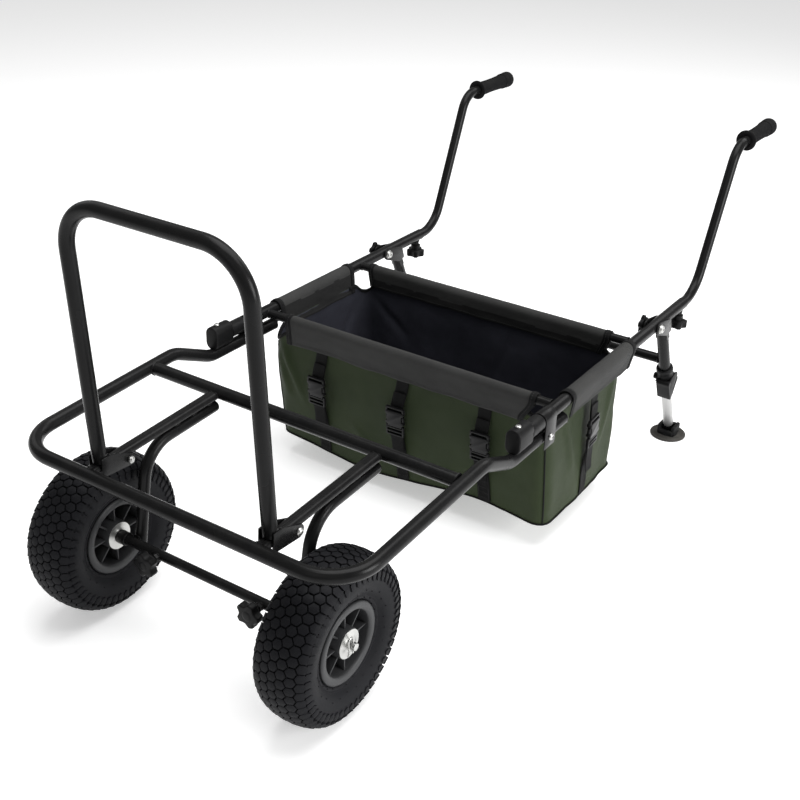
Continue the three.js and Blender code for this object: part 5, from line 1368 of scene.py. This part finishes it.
shell = bmesh.new()
rise = BAG["top"] - BAG["seam"]
cloth_grid(shell, 250, 32, ROUND, rise,
           lambda u, v: hanging(*walk_along(BORDER, u * ROUND), BAG["seam"] + v * rise))
bmesh.ops.remove_doubles(shell, verts=shell.verts, dist=1e-5)
bmesh.ops.recalc_face_normals(shell, faces=shell.faces)
sewn("bag_walls", shell, [green_cloth, lining_cloth], 1.6, ["bag"], True)

# %% [markdown]
# The base hangs below its seam like a shallow hammock. Its square grid is pressed into the rounded
# border. A thin cord follows the seam round the bag, and four finer ones run up the corners.


# %% Base and seam cord
def base_place(u, v):
    """A point of the base panel from its two shares."""
    p, q = 2 * u - 1, 2 * v - 1
    half, corner = BAG["half"], BAG["corner"]
    deep = (BAG["rear"][0] - BAG["front"][0]) / 2
    x, y = p * half, q * deep
    over = Vector((max(abs(x) - half + corner, 0), max(abs(y) - deep + corner, 0))) / corner
    if over.x and over.y:
        x = math.copysign(half - corner + corner * over.x * math.sqrt(1 - over.y ** 2 / 2), x)
        y = math.copysign(deep - corner + corner * over.y * math.sqrt(1 - over.x ** 2 / 2), y)
    sag = BAG["sag"] * (1 - abs(p) ** 9) * (1 - abs(q) ** 5) ** 0.8
    sag += 1.2 * crumple(x, y, 0, 70, 2.0) * (1 - max(abs(p), abs(q)) ** 4)
    y += BAG["front"][0] + deep
    return at(x, y, seam_height(x, y) - sag)


base = bmesh.new()
cloth_grid(base, 72, 34, 2 * BAG["half"], BAG["rear"][0] - BAG["front"][0], base_place)
bmesh.ops.recalc_face_normals(base, faces=base.faces)
bmesh.ops.reverse_faces(base, faces=[face for face in base.faces if face.normal.z > 0])
sewn("bag_base", base, [green_cloth, lining_cloth], 1.6, lined=True)


def cord_along(mesh, places, diameter, closed=False, sides=8):
    """A thin cord swept through a list of places in metres."""
    ways = [(b - a).normalized() for a, b in zip(places, places[1:])]
    route = list(zip(places, [*ways, ways[0] if closed else ways[-1]]))
    loop = edges_at(circle(mesh, sides, diameter / 2, frame_at(*route[0])))
    last = swept(mesh, route, loop)
    if not closed:
        capped(mesh, loop, -route[0][1], 0.1, 0.2)
        capped(mesh, last, route[-1][1], 0.1, 0.2)


cords = bmesh.new()
seam_line = [hanging(*walk_along(BORDER, ROUND * k / 200), BAG["seam"], 0.4) for k in range(201)]
cord_along(cords, seam_line, 3.4, True)
CORNER_WALKS = [line_length(BORDER[:7 * k + 4]) for k in range(4)]
for walk in CORNER_WALKS:
    corner_line = [hanging(*walk_along(BORDER, walk), BAG["seam"] + 1 + k * 7.1, 0.2) for k in range(31)]
    cord_along(cords, corner_line, 2.4)
dressed("bag_seam_cords", cords, binding_cloth, [], "frame")

# %% [markdown]
# Each sleeve is a strip wrapped round its tube with its two edges sewn to the wall, so its section is a
# drop. The section is drawn once from two feet and a circle: the straight legs leave the circle where
# they touch it. The band inside the bag is painted darker, as painted shade. The ends are cut at a
# slant and bound with a black tape.


# %% Sleeves
def drop_section(radius, outer_foot, inner_foot):
    """A drop in (outward, up) numbers from the tube's middle, from its outer to its inner foot."""
    turns = []
    for foot, sign in ((outer_foot, 1), (inner_foot, -1)):
        swing = math.degrees(math.acos(radius / math.hypot(*foot)))
        turns.append(math.degrees(math.atan2(foot[1], foot[0])) + sign * swing)
    return [outer_foot, *arc((0, 0), radius, turns[0], turns[1] + 360, 20), inner_foot]


def on_sleeve(sleeve, along_share, walk, out=0.0):
    """A place on a sleeve from a share of its length and a distance round its section."""
    section = sleeve["section"]
    b = walk_along(section, walk)[1]
    depth = fade(-b, 0, -section[0][1] if walk < line_length(section) / 2 else -section[-1][1])
    first, last = sleeve["ends"]
    along = first + sleeve["slants"][0] * depth + (last - first - sum(sleeve["slants"]) * depth) * along_share
    seed = sleeve["seed"]
    lift = out + (0.25 + 1.3 * depth) * crumple(along, 3 * b, 0, 42, seed)
    lift += 0.2 * crumple(along, b, 0, 12, seed)
    a, b = off_line(section, walk, lift)
    b += 2.2 * depth * crumple(along, 0, 0, 55, seed + 4)
    if sleeve["axis"] == "x":
        return at(along, sleeve["middle"] + sleeve["side"] * a, RAIL["height"] + b)
    return at(sleeve["side"] * (sleeve["middle"] + a), along, RAIL["height"] + b)


FRONT_SECTION = drop_section(9.5, (2.2, -47), (-3.6, -44))
REAR_SECTION = drop_section(9.5, (2.2, -47), (-7.5, -35))
RAIL_SECTION = drop_section(12.5, (5, -37), (-18.6, -42))
LABELS = ("axis", "middle", "side", "ends", "slants", "section", "band", "seed")
SLEEVES = [dict(zip(LABELS, values)) for values in (
    ("x", BAG_TUBES["front"], -1, (-246, 265), (-1, 22), FRONT_SECTION, 41, 1),
    ("x", BAG_TUBES["rear"], 1, (-269, 257), (4, 12), REAR_SECTION, 18, 2),
    ("y", RAIL["offset"], 1, (608, 852), (7, 4), RAIL_SECTION, 42, 3),
    ("y", RAIL["offset"], -1, (606, 836), (7, 4), RAIL_SECTION, 42, 5))]
TAPE_WIDTH = 12
sleeves, tapes = bmesh.new(), bmesh.new()
for sleeve in SLEEVES:
    long, round_it = sleeve["ends"][1] - sleeve["ends"][0], line_length(sleeve["section"])
    cloth = cloth_grid(sleeves, round(long / 6), 36, long, round_it,
                       lambda u, v: on_sleeve(sleeve, u, v * round_it))
    for face in {face for vert in cloth for face in vert.link_faces}:
        spots = [loop[sleeves.loops.layers.uv["cloth"]].uv / MM for loop in face.loops]
        middle = sum(spots, Vector((0, 0))) / len(spots)
        # Faces past the band's wavy edge take the darker band colour, which is painted shade inside the bag.
        edge = round_it - sleeve["band"] + 4 * crumple(middle.x, 0, 0, 38, sleeve["seed"])
        face.material_index = int(middle.y > edge)
    for start in (-0.6, long + 0.6 - TAPE_WIDTH):
        cloth_grid(tapes, 4, 36, TAPE_WIDTH, round_it,
                   lambda u, v: on_sleeve(sleeve, (start + u * TAPE_WIDTH) / long, v * round_it, 1.2))
sewn("bag_sleeves", sleeves, [sleeve_cloth, band_painted_shade], 1.5)
sewn("bag_tapes", tapes, binding_cloth, 1.6)

# %% [markdown]
# A black tape is folded over the wall's top edge in the four corners, where no sleeve covers it.


# %% Corner tapes
def on_edge(walk, share):
    """A place on the tape folded over the top edge; the share runs from its outer to its inner edge."""
    x, y = walk_along(BORDER, walk % ROUND)
    height = BAG["top"] + 1.2 - 9 * max(abs(share - 0.5) * 2 - 0.2, 0)
    return hanging(x, y, height, 1.3 - 4.6 * fade(share, 0.3, 0.7))


edge_tapes = bmesh.new()
for walk in CORNER_WALKS:
    cloth_grid(edge_tapes, 24, 10, 96, 20, lambda u, v: on_edge(walk + (u - 0.5) * 96, v))
sewn("bag_corner_tapes", edge_tapes, binding_cloth, 1.2)

# %% [markdown]
# Eight straps hang from under the sleeves. Each is webbing in four lengths: one from the sleeve to the
# buckle, a doubled end over the buckle's bar, one from the buckle down to the base seam, and a loose
# tail that lies over it. The strap hangs straighter than the wall and stands off it most at its buckle.
# A strap is given by its middle along a wall, the wall, a swing, a slack and the buckle's height.


# %% Straps
STRAP_WIDTH = 26
STRAPS = [(-172, "front", -7, 12, 181), (5, "front", -9, 9, 177), (171, "front", -4, 8, 179),
          (-178, "rear", 3, 5, 186), (0, "rear", -5, 4, 182), (176, "rear", 2, 5, 187),
          (743.5, "right", -3, 3, 188), (743.5, "left", 4, 4, 184)]


def on_strap(strap, across, height, out):
    """A place on a strap: a distance across it, a height and a distance off the wall."""
    middle, wall, swing, slack, level = strap
    out += slack * math.exp(-((height - level) / 46) ** 2)
    across += swing * fade(262 - height, 0, 70) * (1 - 0.3 * fade(level - 20 - height, 0, 90))
    if wall == "front":
        return hanging(middle + across, BAG["front"][0], height, out)
    if wall == "rear":
        return hanging(middle - across, BAG["rear"][0], height, out)
    side = 1 if wall == "right" else -1
    out += 13 * max((height - 60) / 208, 0) ** 1.6
    return hanging(side * BAG["half"], middle + side * across, height, out)


straps = bmesh.new()
for strap in STRAPS:
    level = strap[4]
    for top, bottom, out, curl in ((268, level + 19, 1.6, 0), (level + 56, level + 21, 3.8, 0),
                                   (level - 19, 52, 1.6, 0), (level - 18, 104, 3.9, 6)):
        long = top - bottom
        cloth_grid(straps, 6, max(4, round(long / 6)), STRAP_WIDTH, long,
                   lambda u, v: on_strap(strap, (u - 0.5) * STRAP_WIDTH, bottom + long * v,
                                         out + curl * (1 - v) ** 2))
sewn("bag_straps", straps, strap_webbing, 1.5)

# %% [markdown]
# A side-release buckle has two halves. The upper one is a flat box with a notch in each side and a bar
# for the strap. The lower one has two prongs, which show in the notches, and a ladder of bars. The
# box's outline has the notches already in it, because that is easier than a boolean.


# %% Buckles
def placed(mesh, data, matrix):
    """Adds a copy of some mesh data, moved by a matrix."""
    copy = bmesh.new()
    copy.from_mesh(data)
    bmesh.ops.transform(copy, matrix=matrix, verts=copy.verts)
    moved = as_data(copy, "moved")
    mesh.from_mesh(moved)
    bpy.data.meshes.remove(moved)


BUCKLE_BARS = [(14.2, 7, (3.4, 9.6, 4.4), 1.2), (14.4, 21, (3.4, 8, 5), 1.0),
               (14.4, -15.5, (3.2, 17.5, 4.6), 1.0), (0, 24, (31.6, 3.2, 5), 1.2),
               (0, -6.6, (25, 5, 5.4), 0.8), (0, -11.6, (30, 2.8, 4.4), 0.9), (0, -17.6, (30, 2.8, 5.2), 0.9),
               (0, -24, (30, 2.8, 4.4), 0.9)]


def buckle_form():
    """One closed buckle, in metres, flat at its own middle, with its strap bar at the top."""
    form = bmesh.new()
    half = [(12.5, -5), (15.8, -3.5), (15.8, 0.5), (12.2, 2), (12.2, 12), (15.8, 13.6), (16.2, 17),
            (14.8, 18.5), (11.5, 19)]
    plate(form, half + [(-x, y) for x, y in half[::-1]], 8, Matrix.Identity(4), 1.0)
    for x, y, size, bevel in BUCKLE_BARS:
        for side in (-1, 1) if x else (1,):
            block(form, size, spot(side * x, y, 0), bevel)
    bmesh.ops.recalc_face_normals(form, faces=form.faces)
    return as_data(form, "buckle_form")


buckles = bmesh.new()
BUCKLE_FORM = buckle_form()
for strap in STRAPS:
    level = strap[4]
    middle = on_strap(strap, 0, level, 3.8)
    upward = (on_strap(strap, 0, level + 20, 3.8) - on_strap(strap, 0, level - 20, 3.8)).normalized()
    sideways = on_strap(strap, 12, level, 3.8) - on_strap(strap, -12, level, 3.8)
    outward = sideways.cross(upward).normalized()
    turn = axes(upward.cross(outward), upward, outward)
    placed(buckles, BUCKLE_FORM, Matrix.Translation(middle) @ turn @ Matrix.Scale(1.14, 4))
dressed("bag_buckles", buckles, buckle_plastic, [], "frame")

# %% [markdown]
# Stitches are what makes cloth look sewn. One stitch is a coarse ball, drawn out along the seam; rows
# of them follow the sleeves' edges and the straps, each a little uneven.


# %% Stitches
def stitch_row(mesh, places, seed):
    """A stitch between each place and the next, with a short gap."""
    rng = random.Random(seed)
    for a, b in zip(places, places[1:]):
        way = b - a
        long = way.length * (0.66 + 0.08 * rng.random())
        turn = UP.rotation_difference(way).to_matrix().to_4x4()
        form = Matrix.Translation((a + b) / 2) @ turn @ Matrix.Diagonal((0.45 * MM, 0.45 * MM, long / 2, 1))
        bmesh.ops.create_icosphere(mesh, subdivisions=1, radius=1.0, matrix=form)


def evenly(place_of, length, pitch):
    """Places along a seam, from a function of its share."""
    count = max(2, round(length / pitch))
    return [place_of(k / count) for k in range(count + 1)]


stitches = bmesh.new()
for sleeve in SLEEVES:
    long, round_it = sleeve["ends"][1] - sleeve["ends"][0], line_length(sleeve["section"])
    for number, walk in enumerate((4, 7.5, round_it - 5)):
        stitch_row(stitches, evenly(lambda share: on_sleeve(sleeve, 0.04 + 0.92 * share, walk, 1.0),
                                    long - 2 * TAPE_WIDTH, 4.4), sleeve["seed"] * 10 + number)
    for along in (6.4, long - 6.4):
        round_seam = evenly(lambda share: on_sleeve(sleeve, along / long, 3 + share * (round_it - 6), 2.3),
                            round_it, 3.8)
        stitch_row(stitches, round_seam, sleeve["seed"] * 20)
STRAP_SEAM = {"low": 60, "high": 84, "half": 10}
for number, strap in enumerate(STRAPS):
    low, high, half = STRAP_SEAM.values()
    for across in (-half, half):
        stitch_row(stitches, evenly(lambda share: on_strap(strap, across, low + share * (high - low), 2.6),
                                    high - low, 3.6), number + 60)
    for height in (low, (low + high) / 2, high):
        stitch_row(stitches, evenly(lambda share: on_strap(strap, half * (2 * share - 1), height, 2.6),
                                    2 * half, 3.6), number + 70)
thread = hard_finish("thread", (0.012, 0.012, 0.012), (0.022, 0.022, 0.022), 0.0, 3000, (0.6, 0.7))
dressed("bag_stitches", stitches, thread, [], "frame")
print("bag done")
